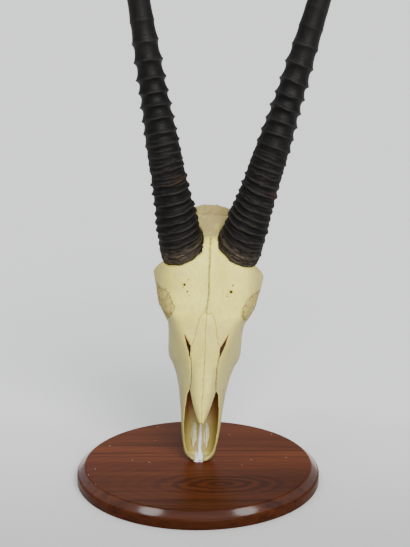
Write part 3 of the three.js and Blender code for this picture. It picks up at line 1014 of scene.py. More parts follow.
@dataclass(frozen=True)
class PaperFinish:
    """Plain pale paper for the floor, with painted shade that makes it a little greyer towards the viewer."""

    paper: Colour = (0.71, 0.715, 0.71, 1)
    soft: Colour = (0.76, 0.765, 0.76, 1)
    near: Colour = (0.50, 0.505, 0.50, 1)
    cloud_scale: float = 2.5
    darker: Pair = (0.3, -0.3)
    roughness: float = 0.85
    relief: float = 0.0001

    def material(self) -> bpy.types.Material:
        """Builds the material.

        Returns:
            The material.
        """
        graph = Graph("paper")
        place = graph.place((1, 1, 1))
        cloud = graph.grain(place, self.cloud_scale, 3, 0.5)
        colour = graph.mix(cloud, self.paper, self.soft)
        # Painted shade: greyer towards the viewer.
        colour = graph.mix(graph.step(graph.axis(place, "Y"), *self.darker), colour, self.near)
        return graph.finish(colour, self.roughness, cloud, self.relief)


# ---- the head's place


@dataclass(frozen=True)
class HeadPose:
    """Where the upright head stands, and how it leans. Millimetres and degrees."""

    foot: Triple = (1.3, 0.0, 25.4)
    lean_back: float = 20.0
    lean_side: float = 3.1

    def matrix(self) -> Matrix:
        """From the head's frame in millimetres to the shared frame in metres.

        Returns:
            The matrix.
        """
        side = Matrix.Rotation(math.radians(self.lean_side), 4, "Y")
        back = Matrix.Rotation(math.radians(-self.lean_back), 4, "X")
        return Matrix.Scale(MM, 4) @ Matrix.Translation(self.foot) @ side @ back

    def settle(self, piece: bpy.types.Object) -> None:
        """Moves a finished mesh from the head's frame to the shared one."""
        piece.data.transform(self.matrix())
        piece.data.update()


def hand_over(piece: bpy.types.Object, material: bpy.types.Material, nodes: list[str]) -> None:
    """Dresses a finished piece, ties it to the frame and reports it.

    Args:
        piece: The finished mesh.
        material: Its material.
        nodes: The solids that it stands for.
    """
    piece.data.materials.clear()
    piece.data.materials.append(material)
    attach(piece, BODY)
    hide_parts(*nodes)
    triangles = sum(len(face.vertices) - 2 for face in piece.data.polygons)
    log.info("%s: %d triangles", piece.name, triangles)


# ---- horns


@dataclass
class Horn:
    """One horn: rim, rings and the long smooth point. Millimetres in the head's frame."""

    side: Side
    foot: Triple
    spread: Triple
    pose: HeadPose
    rings: tuple[Pair, ...]
    rust: tuple[Triple, ...]
    thick: float = 1.0
    length: float = 845.0
    sweep: Triple = (-16.0, -11.0, -7.0)
    deeper: float = 1.05
    rim: float = -12.0
    rim_slant: float = 0.42
    rim_turn: float = 25.0
    ragged: float = 2.2
    slant_reach: float = 200.0
    sides: int = 104
    spacing: float = 1.35
    point_spacing: float = 4.5
    last_ring: float = 370.0
    radii: tuple[Pair, ...] = (
        (-45, 31.5), (-12, 31.2), (10, 30.8), (30, 29.4), (50, 27.3), (70, 26), (95, 24.8), (125, 24.1),
        (150, 23.3), (168, 21.9), (187, 20.5), (206, 19.1), (235, 18.1), (270, 17.6), (300, 17.1),
        (345, 16.3), (450, 14.6), (560, 12), (660, 9.2), (750, 6.3), (815, 3.6), (845, 1.4))

    def line(self, distance: np.ndarray) -> tuple[np.ndarray, np.ndarray]:
        """The middle line's points and directions at distances from the foot.

        Args:
            distance: The distances along the horn.

        Returns:
            One row of points and one of directions to each distance.
        """
        step = 2.5
        marks = np.arange(0, self.length + step, step)
        t = marks / self.length

        def blend(values: Triple) -> np.ndarray:
            """A quadratic through the values at the foot, the middle and the tip."""
            foot, middle, tip = values
            return np.radians(foot * (1 - t) * (1 - 2 * t) + middle * 4 * t * (1 - t) + tip * t * (2 * t - 1))

        along = np.stack([self.side.value * np.tan(blend(self.spread)), np.tan(blend(self.sweep)),
                          np.ones_like(t)], axis=1)
        along /= np.linalg.norm(along, axis=1, keepdims=True)
        path = np.array(self.foot) + np.concatenate([[(0, 0, 0)], np.cumsum(along[:-1] * step, axis=0)])
        way = np.stack([np.interp(distance, marks, column) for column in along.T], axis=1)
        place = np.stack([np.interp(distance, marks, column) for column in path.T], axis=1)
        return place + way * np.minimum(distance, 0)[:, None], way

    def slant(self, distance: np.ndarray) -> np.ndarray:
        """How far rings drop to the front, per millimetre of radius."""
        return self.rim_slant * np.clip(1 - distance / self.slant_reach, 0, 1) ** 1.35

    def radius(self, distance: np.ndarray) -> np.ndarray:
        """The radius in the furrows."""
        table = np.array(self.radii, float)
        return self.thick * smooth_levels(table[:, 0], table[:, 1:], distance)[:, 0]

    def ring_places(self, distance: np.ndarray, angle: np.ndarray, radius: np.ndarray,
                    slant: np.ndarray) -> np.ndarray:
        """Points round the horn, at an angle from its front towards its outer side.

        Args:
            distance: How far up the horn each point is.
            angle: Each point's angle from the front, in radians.
            radius: How far each point is from the middle line.
            slant: How far rings drop to the front there.

        Returns:
            One row to each point.
        """
        place, along = self.line(distance)
        front = np.array([0.0, -1, 0]) + along * along[:, 1:2]
        front /= np.linalg.norm(front, axis=1, keepdims=True)
        outer = np.cross(along, front) * self.side.value
        where = place + front * (radius * self.deeper * np.cos(angle))[:, None]
        where += outer * (radius * np.sin(angle))[:, None]
        return where + along * (-slant * radius * np.cos(angle - math.radians(self.rim_turn)))[:, None]

    def plain(self, name: str, levels: list[Triple], sides: int = 64) -> bpy.types.Object:
        """A plain solid round the middle line, from distances, radii and slants.

        Args:
            name: The object's name.
            levels: Each level as its distance, radius and slant.
            sides: Points round it.

        Returns:
            The closed mesh.
        """
        table = np.array(levels, float)
        angle = np.tile(np.arange(sides) * 2 * math.pi / sides, len(table))
        distance, radius, slant = np.repeat(table, sides, axis=0).T
        return loft(name, self.ring_places(distance, angle, radius, slant).reshape(len(table), sides, 3))

    def stump(self) -> bpy.types.Object:
        """The bony stump under the horn, up to the slanted plane of its rim."""
        levels = [(-48, 14, 0.2), (-32, 23, 0.3), (-14, 28, self.rim_slant), (4, 28.5, self.rim_slant)]
        return self.plain("stump", [(self.rim + below, radius, slant) for below, radius, slant in levels])

    def room(self) -> bpy.types.Object:
        """The room that the horn's foot takes up in the skull."""
        stops = np.array([self.rim - 0.35, 25, 75])
        return self.plain("room", list(zip(stops, self.radius(stops) + 3, self.slant(stops))))

    def relief(self, distance: np.ndarray, angle: np.ndarray) -> np.ndarray:
        """How far rings, wrinkles and flakes stand out.

        Args:
            distance: How far up the horn each point is.
            angle: Each point's angle from the front, in radians.

        Returns:
            Millimetres at each point.
        """
        seed = 3.1 * self.side.value
        round_ = np.stack([np.cos(angle), np.sin(angle), distance / 40], axis=1)
        wander = blotches(round_, (1, 1, 1), seed, 2) * 2.4
        swell = 1 + 0.22 * blotches(round_, (0.7, 0.7, 0.5), seed + 9, 2)
        behind = 0.72 + 0.28 * fade(np.cos(angle), -0.9, -0.1)
        total = np.zeros_like(distance)
        for place, height in self.rings:
            off = distance + wander - place
            wide = 1.4 + 0.0145 * place
            bump = np.exp(-np.abs(off / np.where(off > 0, 1.5 * wide, 0.72 * wide)) ** 1.5)
            lip = np.exp(-((off - 0.3) / 1.1) ** 2)
            total += height * (bump + 0.28 * lip) * swell * behind
        fine = np.stack([np.cos(angle) * 0.9, np.sin(angle) * 0.9, distance / 3.1], axis=1)
        wrinkle = blotches(fine, (1, 1, 1), seed + 20, 3)
        total += wrinkle * (0.95 * fade(distance, 200, 90) + 0.15 * fade(distance, 340, 200))
        flake = blotches(fine, (0.6, 0.6, 0.55), seed + 60, 3)
        total += np.abs(flake) * 1.5 * fade(distance, 14, 0)
        thread = np.stack([np.cos(angle) * 14, np.sin(angle) * 14, distance / 45], axis=1)
        total += blotches(thread, (1, 1, 1), seed + 40, 2) * 0.1 * fade(distance, 845, 500)
        return total

    def stain(self, distance: np.ndarray, angle: np.ndarray) -> np.ndarray:
        """Where the horn shows a rust-brown patch.

        Args:
            distance: How far up the horn each point is.
            angle: Each point's angle from the front, in radians.

        Returns:
            From 0 to 1 at each point.
        """
        total = np.zeros_like(distance)
        for place, turn, reach in self.rust:
            round_ = np.abs((angle - math.radians(turn) + math.pi) % (2 * math.pi) - math.pi)
            off = np.hypot((distance - place) / reach, round_ * self.radius(distance) / (1.6 * reach))
            total = np.maximum(total, fade(off, 1.1, 0.3))
        return total

    def build(self, material: bpy.types.Material) -> bpy.types.Object:
        """Builds the horn and dresses it.

        Args:
            material: Its finish.

        Returns:
            The horn.
        """
        even = np.concatenate([np.arange(self.rim, self.last_ring, self.spacing),
                               np.arange(self.last_ring, self.length, self.point_spacing), [self.length]])
        levels = len(even)
        circle = np.arange(self.sides) * 2 * math.pi / self.sides
        distance, angle = np.repeat(even, self.sides), np.tile(circle, levels)
        round_ = np.stack([np.cos(angle) * 3, np.sin(angle) * 3, distance * 0], axis=1)
        ragged = blotches(round_, (1, 1, 1), 5.0 * self.side.value, 4) * self.ragged
        ragged *= fade(distance, self.rim + 12, self.rim)
        radius = self.radius(distance) + self.relief(distance, angle)
        radius -= 1.2 * fade(distance, self.rim + 3.5, self.rim)
        where = self.ring_places(distance + ragged, angle, radius, self.slant(distance))
        name = f"{self.side.name.lower()}_horn"
        flow = np.stack([radius * np.cos(angle), radius * np.sin(angle), distance], axis=1) * MM
        foot = fade(distance + 5 * blotches(round_, (1, 1, 1), 30, 2), 12, 1)
        layers = {"flow": flow, "foot": foot, "rust": self.stain(distance, angle)}
        piece = loft(name + "_sheath", where.reshape(levels, self.sides, 3), layers)
        bend = Neighbours(piece).hollow(5, 0.3)
        # Raised crests: partly wear, partly a painted highlight.
        paint(piece, "worn", np.clip(-bend, 0, 1))
        # Hollows between the rings, for painted shade.
        paint(piece, "furrow_shade", np.clip(bend, 0, 1))
        self.pose.settle(piece)
        shade_smooth(piece)
        hand_over(piece, material, [name])
        return piece


# ---- skull


@dataclass(frozen=True)
class Groove:
    """A groove along a line on the face. Millimetres, and how dark it is, from 0 to 1."""

    line: Outline
    width: float
    depth: float
    dark: float


@dataclass
class Skin:
    """The skull's skin while it is worked: where it is, which way it faces and what is done to it."""

    piece: bpy.types.Object
    mesh: Neighbours = field(init=False)
    where: np.ndarray = field(init=False)
    flat: np.ndarray = field(init=False)
    normal: np.ndarray = field(init=False)
    front: np.ndarray = field(init=False)
    push: np.ndarray = field(init=False)
    seam: np.ndarray = field(init=False)

    def __post_init__(self) -> None:
        """Reads the mesh, with nothing pushed or darkened."""
        self.mesh = Neighbours(self.piece)
        self.where = places(self.piece)
        self.flat = self.where[:, [0, 2]]
        self.normal = facing(self.piece)
        self.front = fade(-self.normal[:, 1], 0.05, 0.35)
        self.push = np.zeros(len(self.where))
        self.seam = np.zeros(len(self.where))

    def darken(self, shade: np.ndarray) -> None:
        """Makes the seams at least this dark."""
        self.seam = np.maximum(self.seam, shade)


@dataclass
class Skull:
    """Cranium and upper jaw as one bone. Millimetres in the head's frame."""

    pose: HeadPose
    horns: list[Horn]
    grain: float = 1.9
    around: int = 168
    spacing: float = 2.0
    seat_gap: float = 0.35
    base_top: float = 24.0
    back_tilt: float = -14.0
    back_top: float = 379.0
    back_depth: float = 20.0
    back_size: Triple = (200.0, 300.0, 120.0)
    ground_size: Triple = (900.0, 900.0, 200.0)
    slit_floor: float = 27.0
    slit_front: float = 60.0
    refine_reach: Pair = (2.8, 1.5)
    # The muzzle's rim: how far forward it lies at a height, its slope there, that height and its width.
    rim: tuple[float, float, float, float] = (5.0, 0.272, 10.0, 4.5)
    # The width, depth and darkness of the seams on the sides.
    side_groove: Triple = (0.95, 0.6, 0.45)
    hole_depth: float = 3.2
    # Heights up the nasal passage, each with the y of its middle.
    passage_middle: Outline = field(default_factory=lambda: [(0, -8), (114, 0), (215, 20)])
    # The low ridge down the forehead: its x, width and height.
    brow_ridge: Triple = (3.0, 2.4, 0.9)
    stations: Stations = field(default_factory=lambda: [
        (0, [(0, 4), (5, 4), (9, 3.5), (11, 1), (11, -2), (9, -4), (6, -5), (0, -5)]),
        (4, [(0, 5), (8, 5), (14, 4.5), (16.8, 1), (16.5, -4), (15, -7), (10, -8), (0, -8)]),
        (10, [(0, 6), (10, 6), (18, 5.5), (21.3, 1), (21.5, -5), (19, -10), (13, -12), (0, -12)]),
        (20, [(0, 8), (12, 8), (20.5, 7.5), (23.7, 2), (23.5, -6), (20.5, -13), (14, -15.5), (0, -15.5)]),
        (34, [(0, 12), (13, 12), (22.5, 11), (26, 4), (26, -7), (22, -16), (15, -19.5), (0, -19.5)]),
        (57, [(0, 19), (14, 19), (23.5, 18), (28.3, 9), (28.5, -6), (24, -20), (16, -26), (0, -26.5)]),
        (80, [(0, 26), (15, 26), (23.5, 25), (29.6, 14), (31.2, -5), (27, -24), (18, -33), (0, -33)]),
        (100, [(0, 33), (16, 33), (22, 31), (30, 19), (34.2, -3), (30.5, -27), (24, -40), (0, -38)]),
        (120, [(0, 38), (13, 37.5), (20.5, 35), (31, 23), (38.2, 2), (35.5, -26), (29, -48), (0, -43)]),
        (138, [(0, 40), (14, 39.5), (22, 37), (34, 25), (44.2, 2), (43, -24), (34, -54), (0, -48)]),
        (150, [(0, 41), (15, 40.5), (24, 38.5), (37, 27), (48, 8), (51, -20), (38, -58), (0, -52)]),
        (162, [(0, 41.5), (17, 41.5), (28, 39.5), (40, 29), (49.5, 12), (53, -22), (40, -62), (0, -56)]),
        (199, [(0, 42), (24, 42.2), (41, 40.5), (50, 33), (55, 15), (53, -28), (34, -68), (0, -64)]),
        (207, [(0, 42.2), (27, 42.8), (46, 41), (56, 33), (60.5, 15), (52, -30), (28, -66), (0, -64)]),
        (220, [(0, 42.6), (30, 43.6), (51, 41.3), (63, 33), (68.2, 18), (49, -28), (22, -66), (0, -64)]),
        (242, [(0, 43), (32, 44.5), (56, 42.5), (70, 34), (74.3, 21), (46, -22), (20, -68), (0, -68)]),
        (266, [(0, 43), (32, 45), (58, 42.4), (73.6, 31.6), (79.4, 18.6), (45, -19), (22, -75), (0, -78)]),
        (271, [(0, 43), (32, 45), (58, 42.3), (74, 31), (80.5, 18), (45, -18), (22, -76), (0, -80)]),
        (276, [(0, 42.9), (31.5, 44.8), (57, 41.8), (72.5, 30), (78.2, 16.5), (44.6, -18.5), (22.6, -77.5),
               (0, -82)]),
        (284, [(0, 42.5), (30, 44.5), (54, 40), (66, 27), (70.5, 12), (44, -20), (24, -80), (0, -85)]),
        (297, [(0, 41), (26, 42), (44, 35), (54, 20), (54, 5), (42, -25), (26, -84), (0, -90)]),
        (312, [(0, 37.5), (22, 37), (36, 28), (45, 12), (45, -8), (43, -35), (28, -90), (0, -94)]),
        (328, [(0, 27), (19, 26), (33, 17), (42, 2), (44, -15), (44, -45), (30, -94), (0, -96)]),
        (343, [(0, 14.5), (19, 13), (33, 5), (41, -8), (44, -28), (46, -55), (34, -97), (0, -97)]),
        (358, [(0, 1), (20, -0.5), (34, -7), (42, -20), (46, -40), (48, -65), (36, -98), (0, -98)]),
        (369, [(0, -10), (21, -11), (32, -16), (40, -28), (43, -46), (44, -70), (34, -92), (0, -96)]),
        (377, [(0, -17), (20, -17.5), (28, -21), (33, -31), (35, -48), (33, -66), (26, -80), (0, -86)]),
        (381, [(0, -22), (16, -22.5), (22, -26), (26, -34), (28, -48), (26, -62), (20, -72), (0, -78)]),
    ])
    passage: Stations = field(default_factory=lambda: [
        (6, [(0, 60), (5, 60), (10, 30), (10, 0), (6, -3.5), (0, -3.5)]),
        (13, [(0, 60), (9, 60), (16, 30), (16.5, -2), (11, -7), (0, -7)]),
        (31, [(0, 60), (12, 60), (19.2, 30), (21.8, -4), (17, -13.5), (0, -14)]),
        (57, [(0, 60), (14, 60), (21, 34), (24.6, -2), (19, -20), (0, -21)]),
        (85, [(0, 60), (14, 60), (20.4, 34), (25.6, 0), (20, -27), (0, -28)]),
        (106, [(0, 50), (12, 48), (18.5, 34), (26, 0), (21, -32), (0, -33)]),
        (114, [(0, 33), (10, 32), (16, 28), (27, 0), (22, -34), (0, -35)]),
        (170, [(0, 33.5), (12.5, 32.5), (19, 28), (28, 0), (20, -41), (0, -43)]),
        (215, [(0, 20), (8, 19), (14, 12), (18, -10), (13, -45), (0, -50)]),
    ])
    nose: Stations = field(default_factory=lambda: [
        (53.5, [(0, 41), (2.5, 40.5), (3.5, 39), (2.5, 37.5), (0, 37.5)]),
        (58, [(0, 42), (4, 41), (6, 38), (4, 36.5), (0, 38)]),
        (70, [(0, 42.4), (6, 41), (10.5, 36.5), (8, 35), (0, 38)]),
        (88, [(0, 42.4), (9, 40.8), (16, 34.5), (13, 32.5), (0, 37)]),
        (104, [(0, 42.2), (11, 40.4), (19, 33.5), (16, 31), (0, 36)]),
        (130, [(0, 42.2), (12, 40.6), (20, 34.5), (17, 30), (0, 34)]),
        (165, [(0, 42.6), (12, 41.5), (21, 37), (18, 30), (0, 33)]),
        (205, [(0, 42.8), (8, 42.4), (13, 40), (10, 32), (0, 33)]),
    ])
    cheek_bar: Bar = (
        (44, 26, 172, 5, 9), (47, 26, 192, 5, 11), (57, 26, 214, 5, 12), (66, 31, 236, 4.6, 10),
        (70, 38, 260, 4.2, 8), (63, 44, 284, 4, 7.5), (54, 48, 308, 5, 7), (44, 50, 326, 7, 8))
    socket_bar: Bar = (
        (56, -18, 278, 9, 5), (65, -6, 280, 6, 5.5), (68, 12, 280, 4.5, 6), (66, 30, 278, 4, 7),
        (65, 42, 278, 4, 7))
    neck_spur: Bar = (
        (42, 70, 350, 7, 9), (42, 92, 348, 5.5, 7.5), (40, 112, 342, 4, 6), (38, 127, 336, 2, 3))
    jaw_ridge: Bar = (
        (19.5, 36, 88, 4, 3), (21.5, 39, 99, 6, 5), (25.2, 45, 118, 7.5, 6), (29, 52, 142, 8.5, 6.5),
        (31, 58.5, 163, 9, 6.5), (31, 63, 181, 8, 6), (29, 66, 193, 4, 3))
    eye_socket: Lump = ((80, 8, 252), (43, 27, 26))
    eye_ring: Lump = ((66.5, 9, 252), (46, 28, 27), (0, 5, 6))
    eye_ring_thick: float = 0.14
    temple_hollow: Lump = ((80, 22, 318), (37, 36, 28))
    neck_joint: Lump = ((17, 88, 362), (12, 17, 12), (-25, 0, -15))
    ear_bulb: Lump = ((31, 96, 320), (8, 10, 13))
    neck_hole: Lump = ((0, 72, 366), (12, 11, 44), (-17, 0, 0))
    throat_hollow: Lump = ((0, 74, 232), (14, 34, 34))
    palate_slot: Lump = ((9.4, 20, 37), (2.7, 30, 17))
    tip_notch: Lump = ((0, 4, 4), (6, 22, 10))
    # Seams as [x, z] lines on the face.
    brow_seam: Outline = field(default_factory=lambda: [
        (0, 322), (-0.1, 313), (-0.8, 305), (-0.1, 299), (-0.2, 281), (0.4, 260), (0.9, 237), (0, 225),
        (-1.5, 213.6)])
    nose_seams: list[Outline] = field(default_factory=lambda: [
        [(-1.5, 213.6), (-3.7, 213.9), (-8.2, 209), (-11, 201.7), (-13.3, 191.5), (-14.8, 180),
         (-17.3, 171.3), (-19.8, 164.7), (-22.6, 163.1)],
        [(-1.5, 213), (1.5, 210.3), (5, 212.2), (8, 211), (10.3, 206.4), (12.5, 198.6), (14.4, 188.7),
         (16, 178.7), (17.6, 170.2), (21, 164.7)],
        [(-1.5, 213.4), (0.1, 210), (-0.6, 202), (-0.8, 188), (-0.2, 159), (-0.1, 117), (-0.5, 81), (0, 54)]])
    nose_edges: list[Outline] = field(default_factory=lambda: [
        [(-22, 152), (-19.6, 144), (-18.7, 135.6), (-18.5, 122.7), (-18.9, 108.4), (-19.5, 100)],
        [(22.3, 153.4), (19.9, 146), (18.9, 137.5), (18.6, 124.6), (18.6, 110.3), (18.8, 101)]])
    crown_seams: list[Outline] = field(default_factory=lambda: [
        [(-20, 329), (-12, 327), (-4, 326.8), (1.8, 325.6), (7.6, 327.4), (13.4, 328), (20, 330)],
        [(-28, 368), (-17, 363.6), (-9.6, 362.5), (-2.3, 363.6), (6.7, 362.6), (20, 362.6), (25.8, 366.6)]])
    nose_slits: list[Outline] = field(default_factory=lambda: [
        [(-30.8, 180.5), (-26.4, 164), (-22.9, 155), (-21.7, 150), (-20.9, 157), (-20.9, 164), (-25, 170)],
        [(32.8, 184), (28.6, 168), (25.3, 159.4), (21.9, 152), (21.3, 157), (21.2, 163.4), (29, 175.4)]])
    brow_holes: Bar = (
        (-34.6, 251.1, 1.7), (-30.2, 241.1, 1.2), (32.8, 244.1, 2.0), (35.2, 253.6, 1.0), (27.4, 237.4, 0.8),
        (-29, 259, 0.7), (-27, 236, 0.6), (28, 241, 0.6), (-36.5, 247, 0.7))
    cracks: list[Outline] = field(default_factory=lambda: [
        [(-58.8, 236.4), (-56, 234), (-54.1, 230.1)], [(-64.1, 242.6), (-60.4, 239.9)],
        [(-61.8, 211.1), (-58, 208), (-53.6, 207.2)], [(58.3, 231.6), (61, 234.7)],
        [(50.2, 219.7), (52, 224), (55.6, 227.2)], [(74.7, 248.3), (74, 251)]])
    # Seams as [y, z] lines on both sides of the head.
    side_seams: list[Outline] = field(default_factory=lambda: [
        [(-20, 104), (-12, 92), (-2, 80), (6, 66), (12, 52)],
        [(-24, 190), (-18, 198), (-8, 196), (4, 186), (14, 190), (24, 200)],
        [(-8, 203), (-2, 214), (-6, 224)], [(-6, 318), (10, 326), (26, 330), (44, 331), (60, 338)],
        [(52, 300), (62, 286), (70, 262), (74, 236)]])
    tan_edges: list[Outline] = field(default_factory=lambda: [
        [(-74.8, 253.4), (-69.3, 245), (-60.5, 242.6), (-52.6, 228.6), (-47.6, 215.9), (-52.8, 205.5),
         (-56.9, 201), (-90, 190), (-90, 256)],
        [(76.1, 249.8), (64.9, 242), (58.1, 232.9), (51.5, 221), (50.5, 210.9), (55.1, 205.4), (62.2, 201),
         (90, 190), (90, 252)]])

    def block(self, stations: Stations, name: str, grow: float = 0.0) -> bpy.types.Object:
        """A solid through level outlines."""
        return loft(name, level_rings(stations, self.around, self.spacing, grow))

    def bar(self, stops: tuple, side: Side, steps: int = 28) -> bpy.types.Object:
        """A bar of bone on one side."""
        return loft("bar", for_side(bar_rings(list(stops), steps, 32), side))

    def prism(self, outline: Outline, front: float, back: float) -> bpy.types.Object:
        """A straight way from front to back through the face, of this outline.

        Args:
            outline: The outline seen from the front.
            front: How far forward it starts.
            back: How far forward it ends.

        Returns:
            The closed mesh.
        """
        flat = np.array(outline, float)
        rings = [np.stack([flat[:, 0], np.full(len(flat), y), flat[:, 1]], axis=1) for y in (-front, -back)]
        return loft("way", np.array(rings))

    def ground(self) -> bpy.types.Object:
        """A block that ends just over the base's top, in the head's frame.

        Returns:
            The block.
        """
        bpy.ops.object.select_all(action="DESELECT")
        wide, _, deep = self.ground_size
        level = self.base_top + self.seat_gap - deep / 2
        bpy.ops.mesh.primitive_cube_add(size=1)
        block = bpy.context.object
        block.data.transform(Matrix.Translation((0, 0, level)) @ Matrix.Diagonal((wide, wide, deep, 1)))
        block.data.transform(self.pose.matrix().inverted() @ Matrix.Scale(MM, 4))
        return block

    def behind(self) -> bpy.types.Object:
        """The half space behind the sloping back of the skull.

        Returns:
            The block that fills it.
        """
        bpy.ops.object.select_all(action="DESELECT")
        bpy.ops.mesh.primitive_cube_add(size=1)
        block = bpy.context.object
        tilt = Matrix.Rotation(math.radians(self.back_tilt), 4, "X")
        raised = Matrix.Translation((0, 0, self.back_size[2] / 2))
        place = Matrix.Translation((0, self.back_depth, self.back_top)) @ tilt @ raised
        block.data.transform(place @ Matrix.Diagonal((*self.back_size, 1)))
        return block

    def carve(self) -> bpy.types.Object:
        """Joins and cuts the skull's forms, and gives them one even skin.

        Returns:
            The carved skull.
        """
        skull = self.block(self.stations, "skull_bone")
        cut(skull, self.block(self.passage, "passage"), ball("notch", *self.tip_notch), self.behind())
        for side in Side:
            cut(skull, ball("slot", *self.palate_slot, side=side), ball("orbit", *self.eye_socket, side=side),
                ball("temple", *self.temple_hollow, side=side))
            add(skull, *(self.bar(stops, side) for stops in
                         (self.cheek_bar, self.socket_bar, self.neck_spur, self.jaw_ridge)))
            add(skull, torus("eye_ring", *self.eye_ring, self.eye_ring_thick, side),
                ball("joint", *self.neck_joint, side=side), ball("bulb", *self.ear_bulb, side=side))
        add(skull, self.block(self.nose, "nose"))
        cut(skull, ball("neck", *self.neck_hole), ball("throat", *self.throat_hollow))
        for horn in self.horns:
            add(skull, horn.stump())
            cut(skull, horn.room())
        cut(skull, self.ground())
        voxel_skin(skull, self.grain)
        for outline in self.nose_slits:
            cut(skull, self.prism(outline, self.slit_front, self.slit_floor))
        return skull

    def grooves(self) -> list[Groove]:
        """The grooves on the face.

        Returns:
            The seams, the edges of the nose bones and of the rough patches, and the cracks.
        """
        return [
            # The wide faint bands along the brow and crown seams, and the dark along the nose bones' edges,
            # are partly painted shade beside raised bone.
            Groove(self.brow_seam, 1.2, 0.8, 0.8), Groove(self.brow_seam, 3.5, 0.2, 0.12),
            *(Groove(line, 0.6, 0.5, 0.6) for line in self.nose_seams),
            *(Groove(line, 0.9, 1.6, 1.0) for line in self.nose_edges),
            Groove(self.crown_seams[0], 1.5, 0.5, 0.3), Groove(self.crown_seams[1], 1.1, 0.7, 0.55),
            *(Groove(line, 5.0, 0.2, 0.13) for line in self.crown_seams),
            *(Groove(outline[:7], 0.8, 0.6, 0.5) for outline in self.tan_edges),
            *(Groove(line, 0.7, 0.7, 0.8) for line in self.cracks)]

    def refine_lines(self, skull: bpy.types.Object) -> None:
        """Makes the mesh finer along the grooves and round the small holes of the face.

        Args:
            skull: The carved skull.
        """
        for reach in self.refine_reach:
            middle, normal = face_places(skull)
            flat = middle[:, [0, 2]]
            near = np.min([near_line(flat, groove.line) for groove in self.grooves()], axis=0)
            holes = np.min([np.linalg.norm(flat - (x, z), axis=1) - radius
                            for x, z, radius in self.brow_holes], axis=0)
            refine(skull, (np.minimum(near, holes) < reach) & (normal[:, 1] < -0.1) & (middle[:, 1] < 30))

    def soften(self, skin: Skin) -> None:
        """Smooths the skin except the flat floors of the slits, and the muzzle's rim once more.

        Args:
            skin: The skin to work.
        """
        floor = np.zeros(len(skin.where), bool)
        for outline in self.nose_slits:
            on_outline = near_line(skin.flat, outline + outline[:1]) < 0.5
            floor |= on_outline & (skin.where[:, 1] > -self.slit_floor - 0.5)
        where = np.where(floor[:, None], skin.where, skin.mesh.smoothed(skin.where, 3))
        forward, rise, height, width = self.rim
        off = -where[:, 1] - forward - rise * (where[:, 2] - height)
        rim = np.exp(-(off / width) ** 2)
        rim *= fade(np.abs(where[:, 0]), 11, 15) * fade(where[:, 2], 112, 104)
        skin.where = where + rim[:, None] * (skin.mesh.smoothed(where, 12) - where)

    def groove(self, skin: Skin, wander: np.ndarray) -> None:
        """Cuts the grooves and the small holes of the face, and the seams on the sides.

        Args:
            skin: The skin to work.
            wander: How far each point strays from the drawn lines.
        """
        patchy = np.clip(0.85 + 0.6 * blotches(skin.where, (5, 5, 5), 41.0, 2), 0.3, 1.2)
        for groove in self.grooves():
            cut_in = np.exp(-(near_line(skin.flat + wander, groove.line) / groove.width) ** 2) * skin.front
            skin.push -= groove.depth * cut_in
            skin.darken(groove.dark * cut_in * patchy)
        along = skin.where[:, [1, 2]] + 2.2 * wander
        beside = fade(np.abs(skin.normal[:, 0]), 0.35, 0.6)
        width, depth, dark = self.side_groove
        for line in self.side_seams:
            cut_in = np.exp(-(near_line(along, line) / width) ** 2) * beside
            skin.push -= depth * cut_in
            skin.darken(dark * cut_in * patchy)
        # The small holes are painted dark: painted shade in them.
        for x, z, radius in self.brow_holes:
            off = np.linalg.norm(skin.flat + wander - (x, z), axis=1) / radius
            pit = np.exp(-off ** 4) * skin.front
            skin.push -= self.hole_depth * radius * pit
            skin.darken(pit)

    def ridge(self, skin: Skin) -> np.ndarray:
        """How much of the low ridge down the forehead is at each point.

        Args:
            skin: The skin to work.

        Returns:
            From 0 to 1 at each point.
        """
        middle, width, _ = self.brow_ridge
        across = np.exp(-((skin.flat[:, 0] - middle) / width) ** 2)
        return across * fade(skin.flat[:, 1], 228, 244) * fade(skin.flat[:, 1], 322, 308)

    def tan_patches(self, skin: Skin, wander: np.ndarray) -> np.ndarray:
        """Roughens the tan patches in front of the eyes, and darkens their ragged rims.

        Args:
            skin: The skin to work.
            wander: How far each point strays from the drawn lines.

        Returns:
            How tan each point is.
        """
        tan = np.zeros(len(skin.where))
        loose = skin.flat + blotches(skin.where, (14, 14, 14), 7.0, 4)[:, None] * (5, 3)
        dashes = fade(blotches(skin.where, (1.8, 1.8, 3.2), 61.0, 3), 0.02, 0.3)
        for outline in self.tan_edges:
            tan = np.maximum(tan, inside_outline(loose, outline).astype(float))
            rim = np.exp(-(near_line(skin.flat + 2 * wander, outline[:6]) / 2.6) ** 2) * skin.front
            skin.darken(0.8 * rim * dashes)
        tan = skin.mesh.smoothed(tan * fade(skin.where[:, 1], 8, -4), 2)
        fibres = blotches(skin.where, (2.2, 2.2, 7), 11.0, 3)
        skin.push += tan * (fibres * 0.3 - 0.35)
        return tan

    def swell(self, skin: Skin) -> None:
        """Roughens and lowers the crest at the back, and swells the whole skin unevenly.

        Args:
            skin: The skin to work.
        """
        crest = fade(skin.where[:, 2] - 0.25 * skin.where[:, 1], 357, 366)
        skin.push += crest * blotches(skin.where, (5, 6, 6), 15.0, 3) * 1.9
        skin.where[:, 2] -= 4.0 * crest * fade(np.abs(skin.where[:, 0]), 8, 27)
        behind = 0.45 + 0.5 * fade(skin.where[:, 1], 0, 30)
        skin.push += blotches(skin.where, (26, 26, 40), 21.0, 3) * behind
        skin.push += blotches(skin.where, (3, 3, 6), 23.0, 2) * 0.1

